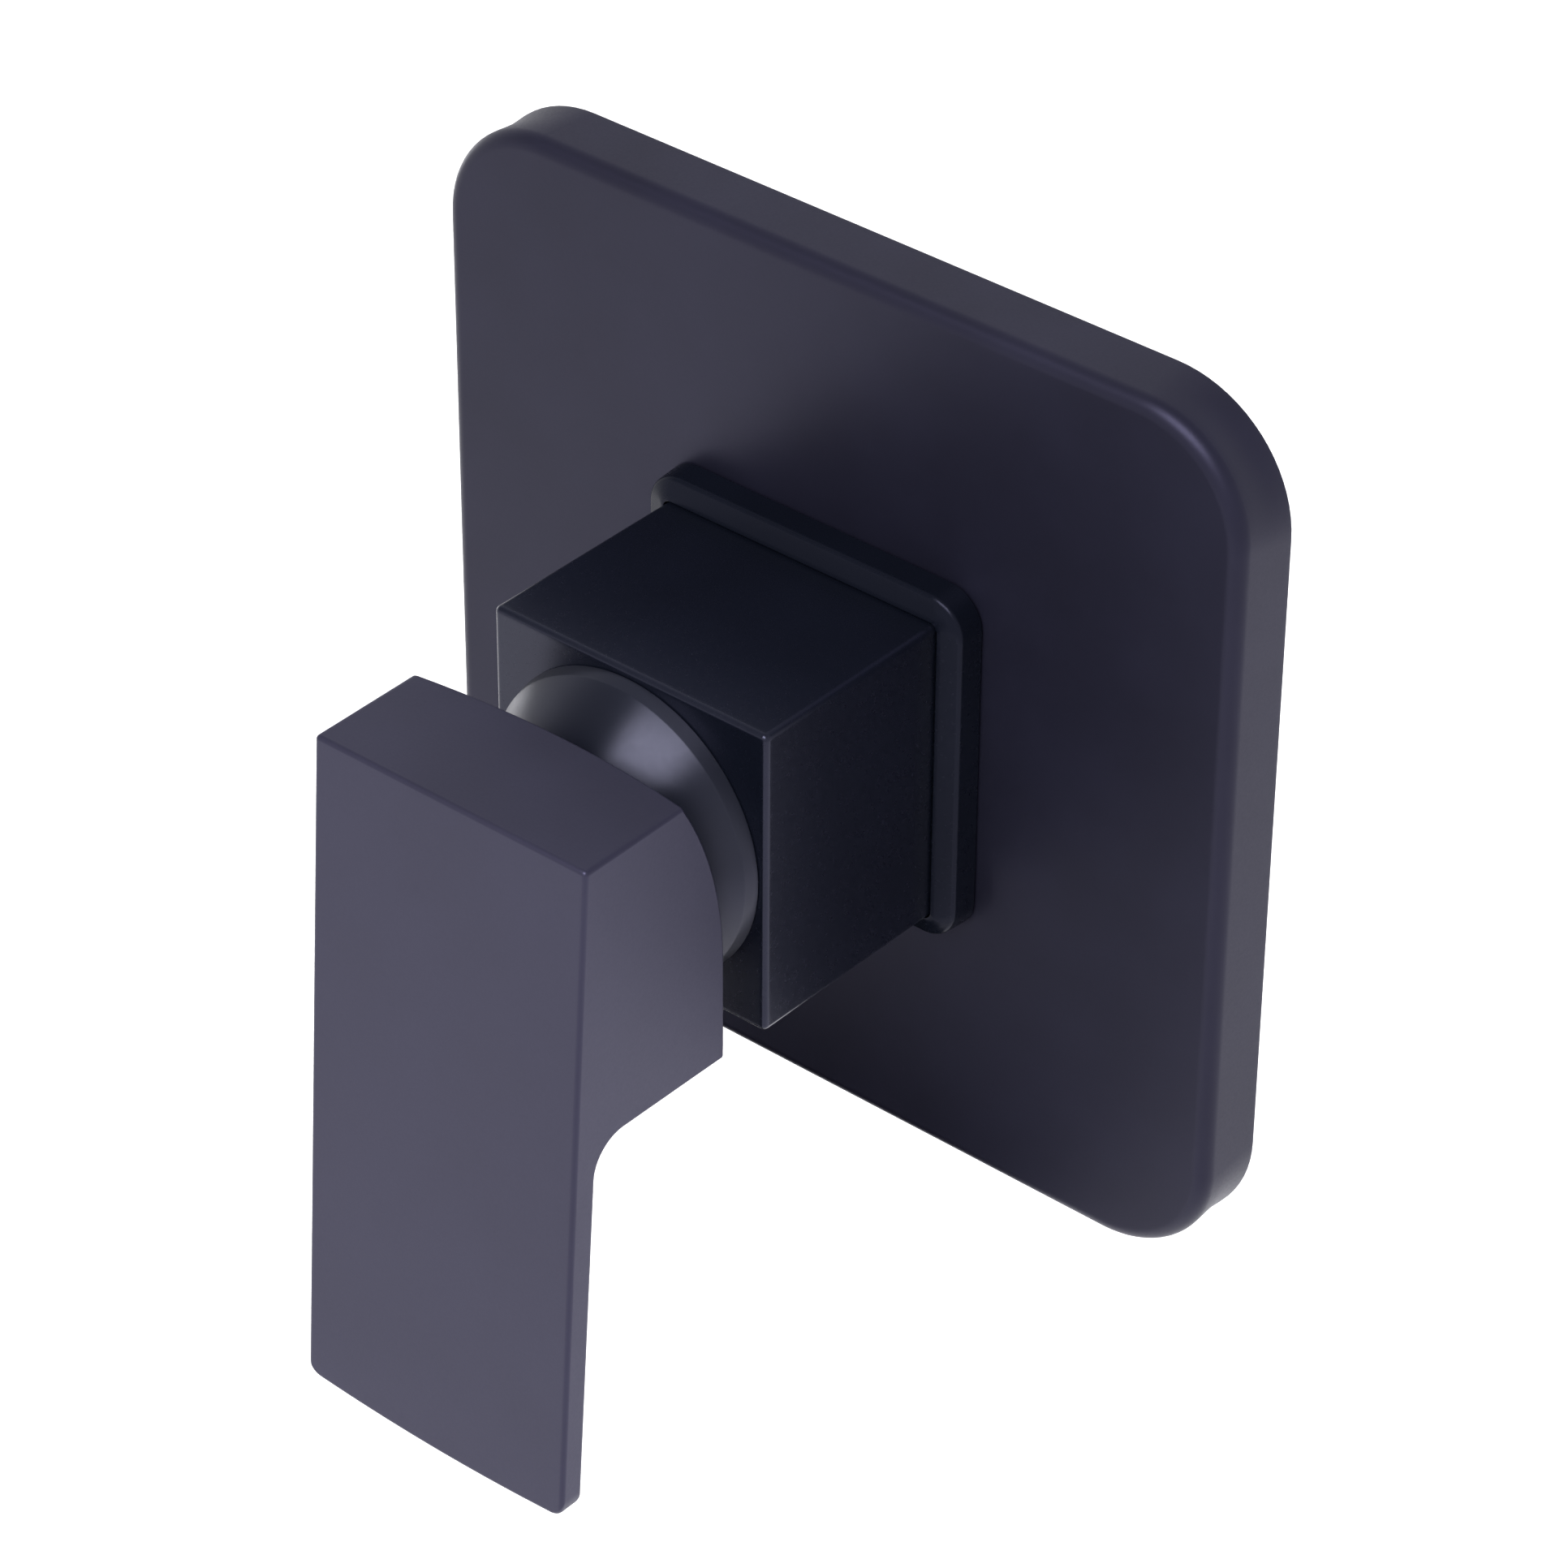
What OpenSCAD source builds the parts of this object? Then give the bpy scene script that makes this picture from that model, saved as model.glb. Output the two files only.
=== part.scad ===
// Concealed single-lever shower mixer: wall plate, square sleeve, domed cap,
// lever handle, and the brass body and ceramic cartridge that they cover.
// The row frame is +Z up, with the wall at y = 0 and the user on the -Y side.

/* [Wall plate] */
// Width of the wall plate
plate_w = 147.3; // [130:0.1:160]
// Height of the wall plate
plate_h = 145; // [130:1:160]
// How far the plate stands off the wall
plate_t = 11.2; // [9.5:0.1:14]
// Corner radius of the plate
plate_r = 19.5; // [15:0.5:26]
// Radius of the pressed front edge
plate_edge_r = 2.4; // [2:0.1:3.5]
// How far the rim flares from front to wall
plate_flare = 0.5; // [0.2:0.1:1]
// Sheet thickness of the plate
plate_wall = 1.6; // [1.2:0.1:1.8]
// Width of the sealing strip behind the rim
gasket_w = 5; // [3:0.5:8]
// Depth of the sealing strip behind the rim
gasket_t = 5; // [3:0.5:7]

/* [Sleeve and collar] */
// Side of the square sleeve
sleeve_w = 50.8; // [49.6:0.2:54]
// Distance of the sleeve's front face from the wall
sleeve_out = 53.5; // [52:0.5:60]
// Wall of the sleeve
sleeve_wall = 2; // [1.5:0.1:2.4]
// Thickness of the sleeve's front wall
sleeve_front_t = 3; // [2:0.5:4]
// Distance of the sleeve's hidden end from the wall
sleeve_back = 4.6; // [4.5:0.1:7]
// Radius along the sleeve's long edges
sleeve_edge_r = 1; // [1:0.1:2]
// Radius round the sleeve's front edge
sleeve_front_r = 0.9; // [0.3:0.1:0.9]
// Width of the collar's band round the sleeve
collar_band = 4.2; // [3.8:0.1:5.5]
// How far the collar stands off the plate at the sleeve
collar_t = 5.8; // [5.2:0.1:7]
// How far the collar's outer ridge stands off the plate
collar_ridge = 4.6; // [4:0.1:5]
// Taper of the collar's sides from the plate to the ridge
collar_draft = 0.3; // [0.1:0.1:0.6]
// Corner radius of the collar
collar_r = 6; // [6:0.5:9]
// Radius of the collar's ridge
collar_edge_r = 0.9; // [0.6:0.1:1.2]
// Thickness of the rubber ring inside the collar
collar_seal_t = 2.2; // [1.5:0.1:2.5]

/* [Domed cap] */
// Radius of the cap's rim, on the sleeve
cap_r = 24.2; // [23:0.1:24.3]
// Height of the cap's rim in front of the sleeve
cap_rim_t = 2.4; // [1.5:0.1:3]
// Taper of the rim from the sleeve to the dome
cap_taper = 0.5; // [0.2:0.1:0.8]
// Wall of the dome
cap_wall = 1.7; // [1.3:0.1:2]
// Radius of the opening for the lever's stem
cap_mouth_r = 13; // [12:0.5:15]
// Length of the skirt behind the rim
cap_skirt_l = 12.5; // [10:0.5:13]

/* [Handle] */
// Width of the handle
handle_w = 50.4; // [46:0.2:52]
// Height of the handle's top face above the axis
handle_top = 22.4; // [20:0.1:26]
// Depth of the lever's tip below the axis
handle_tip = 88.6; // [75:0.1:110]
// Distance of the front face from the wall, at the top face
handle_front = 90.3; // [89:0.1:96]
// Lean of the front face away from the wall
handle_lean = 3.85; // [0:0.05:6]
// Depth of the block's underside below the axis
block_under = 24.9; // [23:0.1:28]
// Distance of the block's back from the wall, on the axis
block_back = 60.2; // [59:0.1:62]
// Radius of the block's back, seen from above
crown_r = 174; // [120:1:300]
// Radius of the block's back above the axis, seen from the side
shoulder_r = 60; // [50:1:80]
// Depth below the axis at which that rounding starts
shoulder_drop = 8; // [4:0.5:12]
// Thickness of the lever under the block
lever_t = 4.6; // [4:0.1:7]
// Thickness of the lever at its tip
lever_tip_t = 4.3; // [3.5:0.1:6]
// Radius between the block and the lever
lever_fillet_r = 6; // [4:0.5:8]
// Radius of the tip's bottom edge, seen from the front
tip_crown_r = 320; // [120:5:400]
// Corner radius of the tip
tip_corner_r = 2.5; // [1:0.1:5]

/* [Cartridge] */
// Radius of the cartridge's housing
cart_r = 17.4; // [17.2:0.05:17.45]
// Distance of the lever's pivot from the wall
pivot_out = 40; // [39.5:0.1:40.5]
// Travel of the lever between closed and open
lift_deg = 25; // [20:0.5:25]
// Travel of the lever to hot, and as far to cold
turn_deg = 45; // [35:1:50]
// Side of the square stem
stem_w = 7; // [6.5:0.1:7.5]
// Length of the stem in front of the pivot
stem_l = 42; // [38:0.5:43]
// Radius of the ball on the stem's inner end
ball_r = 3.5; // [3:0.1:3.6]
// Distance of the ball from the pivot
ball_arm = 9; // [8.8:0.1:9.2]
// Radius of the pivot pin
pin_r = 1.5; // [1.2:0.1:1.7]
// Thickness of the fixed ceramic disc
fixed_disc_t = 4.5; // [4:0.1:4.6]
// Thickness of the moving ceramic disc
moving_disc_t = 4; // [3.5:0.1:4.1]
// Radius of the moving ceramic disc
moving_disc_r = 11.5; // [11:0.1:12]
// Radius of the water ports through the cartridge
port_r = 3.3; // [2.5:0.1:3.5]

/* [Body in the wall] */
// Radius of the threaded neck
neck_r = 20; // [19.6:0.1:20.2]
// Distance of the cartridge's seat from the wall
seat_out = 12; // [11:0.1:12.5]
// Radius of the core
core_r = 22; // [21:0.5:26]
// Depth of the body in the wall
body_depth = 30; // [29.5:0.5:40]
// Distance from the axis to each connection's end face
branch_l = 44; // [40:0.5:60]
// Radius of each connection's boss
branch_r = 13.5; // [12:0.1:13.9]
// Depth of the connections behind the wall face
branch_depth = 16; // [15:0.1:16.5]
// Wall radius of the half-inch pipe thread
thread_r = 9.3; // [9.2:0.05:9.4]
// Length of the pipe thread
thread_l = 14; // [12:0.5:18]
// Radius of the water ways behind the threads
water_r = 6; // [4:0.1:6.5]
// Diameter of the fixing holes' circle
fixing_pcd = 80; // [74:1:96]
// Radius of the fixing holes
fixing_hole_r = 2.7; // [2.2:0.1:3.2]
// Thickness of the fixing lugs
lug_t = 4; // [3:0.1:4.4]

/* [Hidden] */
$fn = 96;

// Clearances: face to face, sliding, running and round a moulded seal
face_gap = 0.05;
slip_gap = 0.15;
run_gap = 0.05;
cast_gap = 0.3;
// Overlap that lets a cut pass a face
cut = 1;

// Matte black finish and the hidden materials
black = [0.16, 0.16, 0.2];
brass = [0.78, 0.62, 0.32];
rubber = [0.09, 0.09, 0.09];
plastic = [0.88, 0.88, 0.85];
ceramic = [0.95, 0.94, 0.9];
steel = [0.7, 0.71, 0.73];
red = [0.75, 0.12, 0.1];

// Wall plate
plate_open = sleeve_w + 2 * cast_gap + 3.4;
plate_open_r = 3;
// Collar
collar_w = sleeve_w + 2 * collar_band;
collar_bore = sleeve_w + 2 * cast_gap;
collar_neck_l = 4;
collar_neck = plate_open - 2 * slip_gap;
collar_seal_w = collar_bore + 2.6;
collar_seal_out = plate_t + (collar_t - collar_seal_t) / 2;
// Sleeve
sleeve_in = sleeve_w - 2 * sleeve_wall;
sleeve_boss_l = 6.5;
// Domed cap: its sphere is centred on the pivot, so the handle keeps one gap to it as it tilts
rim_front = sleeve_out + cap_rim_t;
dome_r = sqrt(pow(cap_r - cap_taper, 2) + pow(rim_front - pivot_out, 2));
skirt_r = neck_r + 1.9;
skirt_in_r = neck_r + slip_gap;
sleeve_bore_r = skirt_r + slip_gap + 0.25;
o_ring_r = 0.75;
o_ring_out = sleeve_out - 6;
// Handle
recess_r = dome_r + 0.5;
lean = tan(handle_lean);
lever_root_back = handle_front + (handle_top + block_under) * lean - lever_t / cos(handle_lean);
lever_tip_back = handle_front + (handle_top + handle_tip) * lean - lever_tip_t / cos(handle_lean);
back_lean = atan((lever_tip_back - lever_root_back) / (handle_tip - block_under));
// The lever hangs closed with its stem half the travel below the axis
rest_tilt = lift_deg / 2;
socket_w = stem_w + 0.1;
hub_r = 7.5;
pocket_r = 12.5;
pocket_end = 42;
screw_r = 2.45;
screw_l = 10;
screw_at = 33;
screw_pad_r = 5;
plug_r = 3.1;
plug_l = 2.6;
screw_mouth = (block_under - screw_at * sin(rest_tilt)) / cos(rest_tilt);
// Cartridge, from the seat outwards
cart_bore_r = 17.55;
base_flange_t = 2;
base_t = 5;
base_in_r = 14.9;
housing_in_r = 15;
base_out = seat_out + 0.3;
housing_out = base_out + base_flange_t + face_gap;
fixed_out = base_out + base_t + face_gap;
moving_out = fixed_out + fixed_disc_t + face_gap;
carrier_out = moving_out + moving_disc_t + face_gap;
ball_out = pivot_out - ball_arm;
disc_shift = ball_arm * rest_tilt * PI / 180;
turret_r = 11.5;
slot_spare = 0.6;
turret_flange_r = 14.7;
turret_flange_t = 2.9;
turret_top = pivot_out + 6.5;
turret_bottom = pivot_out - 4.4;
housing_top_t = 2.4;
housing_shoulder = turret_bottom + turret_flange_t + 2 * face_gap + housing_top_t;
housing_neck_r = 14;
housing_neck_t = 3;
housing_hole_r = turret_r + 0.2;
carrier_t = 3.5;
carrier_boss_r = 6.5;
ports = [[-8, -4], [8, -4], [0, 8.5]];
seal_r = port_r + 1.6;
locating_pins = [[-11, 9], [11, 9]];
locating_pin_r = 1.5;
peg_r = 1.2;
peg_l = 1.5;
peg_at = moving_disc_r - 3;
mix_low = -2;
mix_high = 6;
// Retaining nut and limit ring
nut_bore_r = 18.3;
nut_r = nut_bore_r - 0.1;
nut_in_r = housing_neck_r + cast_gap;
nut_thread_l = 4.4;
nut_hex_af = 33;
nut_hex_t = 4;
neck_over = 3;
neck_front = housing_shoulder + neck_over;
limit_lug_deg = 8;
limit_spare_deg = 3;
limit_lug_r = 13.3;
limit_lug_lift = 0.4;
lug_at = 90;
limit_t = 2.3;
// Body
port_way_r = port_r + 0.6;
water_start = 7;
bridge_r = 4.5;
lug_r = 7;
chamfer = 0.8;

// Turns a piece drawn in (x, up, out from the wall) into the row frame
module from_wall() {
    rotate([90, 0, 0]) children();
}

// Turns a piece drawn along the closed stem, from the pivot outwards, into (x, up, out)
module along_stem() {
    translate([0, 0, pivot_out]) rotate([rest_tilt, 0, 0]) children();
}

// Flat outline of a rectangle with round corners
module round_square(w, h, r) {
    for (sx = [-1, 1], sy = [-1, 1])
        translate([sx * (w / 2 - r), sy * (h / 2 - r)]) circle(r);
    square([w, h - 2 * r], center = true);
    square([w - 2 * r, h], center = true);
}

// Sweeps an edge profile, drawn in (outward from the corner's centre, out), round a rectangle
module rim_sweep(w, h, r) {
    for (k = [0 : 3]) {
        across = k % 2 == 0 ? w : h;
        along = k % 2 == 0 ? h : w;
        rotate([0, 0, 90 * k]) translate([across / 2 - r, along / 2 - r, 0]) {
            rotate_extrude(angle = 90) children();
            rotate([90, 0, 0]) linear_extrude(along - 2 * r) children();
        }
    }
}

// Solid edge profile with a flared side and a rounded front edge
module edge_profile(r, t, front_r, flare) {
    side = r - flare;
    polygon([[0, 0], [r, 0], [side, t - front_r], [0, t - front_r]]);
    square([side - front_r, t]);
    translate([side - front_r, t - front_r]) intersection() {
        circle(front_r);
        square(front_r);
    }
}

// Rounded block with the edge profile on all four sides
module edge_block(w, h, r, t, front_r, flare = 0) {
    rim_sweep(w, h, r) edge_profile(r, t, front_r, flare);
    translate([-w / 2 + r, -h / 2 + r, 0]) cube([w - 2 * r, h - 2 * r, t]);
}

// Square ring with round corners, standing on the plane at out = 0
module square_ring(outer, inner, r_outer, r_inner, t) {
    linear_extrude(t) difference() {
        round_square(outer, outer, r_outer);
        round_square(inner, inner, r_inner);
    }
}

// Round ring between two radii, from one distance out to another
module ring(r_outer, r_inner, from, to) {
    translate([0, 0, from]) linear_extrude(to - from) difference() {
        circle(r_outer);
        circle(r_inner);
    }
}

// Cylinder between two distances out
module bar(r, from, to) {
    translate([0, 0, from]) cylinder(r = r, h = to - from);
}

// Cylinder between two distances out, with a chamfer at its far end
module chamfered_bar(r, from, to) {
    bar(r, from, to - chamfer);
    translate([0, 0, to - chamfer]) cylinder(r1 = r, r2 = r - chamfer, h = chamfer);
}

// Pressed plate: a shallow tray with its open side to the wall
module wall_plate() {
    inner_r = plate_r - plate_wall;
    inner_t = plate_t - plate_wall;
    color(black) from_wall() difference() {
        union() {
            rim_sweep(plate_w, plate_h, plate_r) difference() {
                edge_profile(plate_r, plate_t, plate_edge_r, plate_flare);
                edge_profile(inner_r, inner_t, plate_edge_r - plate_wall + 0.2, plate_flare);
            }
            translate([-plate_w / 2 + plate_r, -plate_h / 2 + plate_r, inner_t])
                cube([plate_w - 2 * plate_r, plate_h - 2 * plate_r, plate_wall]);
        }
        translate([0, 0, inner_t - cut]) linear_extrude(plate_wall + 2 * cut)
            round_square(plate_open, plate_open, plate_open_r);
    }
}

// Foam strip that seals the rim to the wall
module plate_gasket() {
    inset = plate_wall + plate_flare + 2 * face_gap;
    gasket_r = plate_r - inset;
    color(rubber) from_wall() linear_extrude(gasket_t) difference() {
        round_square(plate_w - 2 * inset, plate_h - 2 * inset, gasket_r);
        round_square(plate_w - 2 * (inset + gasket_w), plate_h - 2 * (inset + gasket_w),
            gasket_r - gasket_w);
    }
}

// Section through the collar's band, from its corner's centre outwards: a tapered side, a small
// round ridge, and a front that rises to the sleeve
module collar_profile() {
    bore_at = collar_r - (collar_w - collar_bore) / 2;
    ridge = [collar_r - collar_draft, collar_ridge];
    side_angle = atan(collar_draft / collar_ridge);
    front_angle = atan((collar_t - collar_ridge) / (ridge[0] - bore_at));
    side_normal = [cos(side_angle), sin(side_angle)];
    front_normal = [sin(front_angle), cos(front_angle)];
    centre = ridge - collar_edge_r * (side_normal + front_normal) / (1 + side_normal * front_normal);
    polygon([[0, face_gap], [collar_r, face_gap], centre + collar_edge_r * side_normal,
        centre + collar_edge_r * front_normal, [bore_at, collar_t], [0, collar_t]]);
    translate(centre) circle(collar_edge_r);
}

// Collar on the plate, with a neck through the plate and a groove for its rubber ring
module sleeve_collar() {
    inner_r = sleeve_edge_r + cast_gap;
    color(black) from_wall() difference() {
        union() {
            translate([0, 0, plate_t]) rim_sweep(collar_w, collar_w, collar_r) collar_profile();
            translate([0, 0, plate_t - collar_neck_l]) linear_extrude(collar_neck_l + cut)
                round_square(collar_neck, collar_neck, plate_open_r - slip_gap);
        }
        translate([0, 0, plate_t - collar_neck_l - cut])
            linear_extrude(collar_neck_l + collar_t + 2 * cut)
            round_square(collar_bore, collar_bore, inner_r);
        translate([0, 0, collar_seal_out]) linear_extrude(collar_seal_t)
            round_square(collar_seal_w, collar_seal_w, inner_r + 1);
    }
}

// Rubber ring that grips the sleeve inside the collar
module collar_seal() {
    outer = collar_seal_w - 2 * face_gap;
    inner = sleeve_w + 2 * face_gap;
    color(rubber) from_wall() translate([0, 0, collar_seal_out + face_gap])
        square_ring(outer, inner, sleeve_edge_r + cast_gap + 1 - face_gap,
            sleeve_edge_r + face_gap, collar_seal_t - 2 * face_gap);
}

// Square sleeve with a round hole and an inner boss in its front wall
module sleeve() {
    cavity_l = sleeve_out - sleeve_front_t - sleeve_back;
    color(black) from_wall() difference() {
        translate([0, 0, sleeve_back])
            edge_block(sleeve_w, sleeve_w, sleeve_edge_r, sleeve_out - sleeve_back, sleeve_front_r);
        difference() {
            translate([0, 0, sleeve_back - cut]) linear_extrude(cavity_l + cut)
                round_square(sleeve_in, sleeve_in, sleeve_edge_r);
            bar(sleeve_in / 2 + 1, sleeve_out - sleeve_front_t - sleeve_boss_l, sleeve_out);
        }
        bar(sleeve_bore_r, sleeve_back, sleeve_out + cut);
    }
}

// Ring that centres the sleeve on the cap's skirt
module sleeve_o_ring() {
    color(rubber) from_wall() translate([0, 0, o_ring_out]) rotate_extrude()
        translate([sleeve_bore_r - face_gap - o_ring_r, 0]) circle(o_ring_r, $fn = 32);
}

// Domed cap: threaded skirt, straight rim and a dome with a mouth for the stem
module dome_cap() {
    groove = 2 * o_ring_r + 0.3;
    skirt_back = sleeve_out - cap_skirt_l;
    color(black) from_wall() rotate_extrude() difference() {
        union() {
            translate([0, skirt_back]) square([skirt_r, cap_skirt_l + cut]);
            polygon([[0, sleeve_out + face_gap], [cap_r, sleeve_out + face_gap],
                [cap_r - cap_taper, rim_front], [0, rim_front]]);
            intersection() {
                translate([0, pivot_out]) circle(dome_r);
                translate([0, rim_front]) square(dome_r);
            }
        }
        intersection() {
            translate([0, pivot_out]) circle(dome_r - cap_wall);
            translate([0, skirt_back - cut]) square([skirt_in_r, dome_r + cap_skirt_l]);
        }
        translate([0, skirt_back - cut]) square([cap_mouth_r, 3 * dome_r]);
        translate([sleeve_bore_r - 2 * o_ring_r - 2 * face_gap, o_ring_out - groove / 2])
            square([2 * o_ring_r, groove]);
    }
}

// Side outline of the handle in (out, up), before its back is crowned
module handle_side() {
    root_front = handle_front + (handle_top + block_under) * lean;
    tip_front = handle_front + (handle_top + handle_tip) * lean;
    fillet_up = -block_under - lever_fillet_r;
    fillet_out = lever_root_back + lever_fillet_r * tan(back_lean)
        - lever_fillet_r / cos(back_lean);
    rough_back = block_back - 2 * cut;
    polygon([[rough_back, handle_top], [handle_front, handle_top], [root_front, -block_under],
        [rough_back, -block_under]]);
    polygon([[lever_root_back, -block_under], [root_front, -block_under],
        [tip_front, -handle_tip], [lever_tip_back, -handle_tip]]);
    difference() {
        polygon([[fillet_out, -block_under], [lever_root_back, -block_under],
            [fillet_out + lever_fillet_r * cos(back_lean),
                fillet_up + lever_fillet_r * sin(back_lean)],
            [fillet_out, fillet_up]]);
        translate([fillet_out, fillet_up]) circle(lever_fillet_r);
    }
}

// Front outline of the handle in (x, up): a shallow curve and two round corners at the tip
module handle_face() {
    crown_up = tip_crown_r - handle_tip;
    corner_x = handle_w / 2 - tip_corner_r;
    corner_up = crown_up - sqrt(pow(tip_crown_r - tip_corner_r, 2) - pow(corner_x, 2));
    touch = tip_crown_r / (tip_crown_r - tip_corner_r);
    difference() {
        intersection() {
            translate([-handle_w / 2, -handle_tip]) square([handle_w, handle_tip + handle_top]);
            translate([0, crown_up]) circle(tip_crown_r, $fn = 720);
        }
        for (side = [-1, 1])
            polygon([[side * corner_x, corner_up],
                [side * corner_x * touch, crown_up + (corner_up - crown_up) * touch],
                [side * corner_x * touch, -2 * handle_tip],
                [side * handle_w, -2 * handle_tip], [side * handle_w, corner_up]]);
    }
    for (side = [-1, 1])
        translate([side * corner_x, corner_up]) circle(tip_corner_r);
}

// Turned solid whose surface is the crowned back of the block
module crowned_back() {
    low = -handle_tip - cut;
    translate([0, 0, block_back + crown_r]) rotate([-90, 0, 0])
        rotate_extrude($fn = 360) {
            translate([0, low]) square([crown_r, -shoulder_drop - low]);
            translate([0, -shoulder_drop - cut]) square([crown_r - shoulder_r, shoulder_r]);
            translate([crown_r - shoulder_r, -shoulder_drop]) intersection() {
                circle(shoulder_r, $fn = 360);
                square(shoulder_r);
            }
        }
}

// Room behind the block: the dome's hollow, the cored pocket round the hub, and the socket
module handle_hollows() {
    translate([0, 0, pivot_out]) sphere(recess_r, $fn = 180);
    along_stem() {
        difference() {
            ring(pocket_r, hub_r, recess_r - 6, pocket_end);
            screw_axis() bar(screw_pad_r, 0, pocket_r + cut);
        }
        translate([-socket_w / 2, -socket_w / 2, recess_r - 6])
            cube([socket_w, socket_w, stem_l - recess_r + 6.5]);
        screw_axis() {
            bar(screw_r + run_gap, 0, screw_mouth + 2 * cut);
            bar(plug_r + run_gap, screw_mouth - plug_l - 1.4, screw_mouth + 2 * cut);
        }
    }
}

// Axis of the grub screw: from the stem's axis straight down
module screw_axis() {
    translate([0, 0, screw_at]) rotate([90, 0, 0]) children();
}

// Cast lever handle: a block over the dome with a thin lever hanging from its front
module handle() {
    color(black) from_wall() difference() {
        intersection() {
            rotate([0, 90, 0]) linear_extrude(handle_w, center = true)
                mirror([1, 0]) handle_side();
            linear_extrude(2 * handle_front) handle_face();
            crowned_back();
        }
        handle_hollows();
    }
}

// Grub screw that clamps the handle on the stem
module grub_screw() {
    tip = socket_w / 2;
    color(steel) from_wall() along_stem() screw_axis() difference() {
        union() {
            bar(screw_r - 0.6, tip, tip + 1);
            bar(screw_r, tip + 1, tip + screw_l);
        }
        translate([0, 0, tip + screw_l - 3]) cylinder(r = 1.44, h = 3 + cut, $fn = 6);
    }
}

// Plug in the mouth of the screw's hole
module screw_plug() {
    top = screw_mouth - 1;
    color(black) from_wall() along_stem() screw_axis() {
        bar(plug_r, top - plug_l + 0.2, top);
        bar(screw_r - 0.3, top - plug_l - 0.7, top - plug_l + 0.2);
    }
}

// Outline of the body's fixing lugs, with their holes
module lug_outline() {
    difference() {
        union() {
            circle(core_r);
            for (k = [0 : 3]) rotate(45 + 90 * k) {
                translate([0, -lug_r]) square([fixing_pcd / 2, 2 * lug_r]);
                translate([fixing_pcd / 2, 0]) circle(lug_r);
            }
        }
        for (k = [0 : 3]) rotate(45 + 90 * k)
            translate([fixing_pcd / 2, 0]) circle(fixing_hole_r);
    }
}

// Places a branch drawn along +Z at one of the four sides of the core
module branch(k) {
    translate([0, 0, -branch_depth]) rotate([0, 0, 90 * k]) rotate([0, 90, 0]) children();
}

// Brass body: neck for the cartridge, lugs on the wall, two inlets and two outlets
module mixer_body() {
    color(brass) from_wall() difference() {
        union() {
            bar(core_r, -body_depth, lug_t);
            chamfered_bar(neck_r, 0, neck_front);
            linear_extrude(lug_t) lug_outline();
            for (k = [0 : 3]) branch(k) chamfered_bar(branch_r, 0, branch_l);
        }
        bar(cart_bore_r, seat_out, neck_front + cut);
        bar(nut_bore_r, housing_shoulder - 2, neck_front + cut);
        for (k = [0 : 3]) branch(k) bar(thread_r, branch_l - thread_l, branch_l + cut);
        for (k = [0, 2]) branch(k) bar(water_r, water_start, branch_l);
        for (k = [1, 3]) branch(k) bar(bridge_r, 0, branch_l);
        for (p = ports) translate([p[0], p[1], 0])
            bar(port_way_r, -branch_depth, seat_out + cut);
        for (p = locating_pins) translate([p[0], p[1], 0])
            bar(locating_pin_r + slip_gap, seat_out - 3, seat_out + cut);
    }
}

// Places a piece drawn from the lower connection's end face outwards
module lower_end() {
    branch(3) translate([0, 0, branch_l]) children();
}

// Screwed plug in the unused lower outlet
module outlet_plug() {
    flange_from = 1.6;
    color(brass) from_wall() lower_end() difference() {
        union() {
            bar(thread_r - run_gap, -thread_l + 3, flange_from);
            bar(branch_r - 0.5, flange_from, flange_from + 2);
            translate([0, 0, flange_from + 2]) cylinder(r = 24 / sqrt(3), h = 5, $fn = 6);
        }
        translate([0, 0, flange_from + 1]) cylinder(r = 10 / sqrt(3), h = 6 + cut, $fn = 6);
    }
}

// Sealing washer under the plug's flange
module outlet_plug_seal() {
    color(rubber) from_wall() lower_end()
        ring(branch_r - 0.8, thread_r + slip_gap, face_gap, 1.6 - face_gap);
}

// Plastic housing of the cartridge, with the neck that guides the turret
module cartridge_housing() {
    color(plastic) from_wall() rotate_extrude() difference() {
        union() {
            translate([0, housing_out]) square([cart_r, housing_shoulder - housing_out]);
            translate([0, housing_shoulder - cut])
                square([housing_neck_r, housing_neck_t + cut]);
        }
        translate([0, housing_out - cut])
            square([housing_in_r, housing_shoulder - housing_top_t - housing_out + cut]);
        square([housing_hole_r, 2 * pivot_out]);
    }
}

// Plastic foot of the cartridge, with its ports, seal seats and locating pins
module cartridge_base() {
    color(plastic) from_wall() difference() {
        union() {
            bar(cart_r - 0.1, base_out, base_out + base_flange_t);
            bar(base_in_r, base_out, base_out + base_t);
            for (p = locating_pins) translate([p[0], p[1], 0])
                bar(locating_pin_r, seat_out - 2.5, base_out + cut);
        }
        for (p = ports) translate([p[0], p[1], 0]) {
            bar(port_r, base_out - cut, base_out + base_t + cut);
            bar(seal_r + face_gap, base_out - cut, base_out + 1.4);
        }
    }
}

// Three rubber rings between the foot and the body
module base_seals() {
    color(rubber) from_wall() for (p = ports) translate([p[0], p[1], 0])
        ring(seal_r, port_r + 0.2, seat_out + face_gap, base_out + 1.4 - face_gap);
}

// Ceramic disc that stays still on the foot
module fixed_ceramic_disc() {
    color(ceramic) from_wall() translate([0, 0, fixed_out]) linear_extrude(fixed_disc_t)
        difference() {
            circle(base_in_r - 0.4);
            for (p = ports) translate(p) circle(port_r);
            for (side = [-1, 1]) translate([side * base_in_r, 0]) circle(1.6);
        }
}

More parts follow.
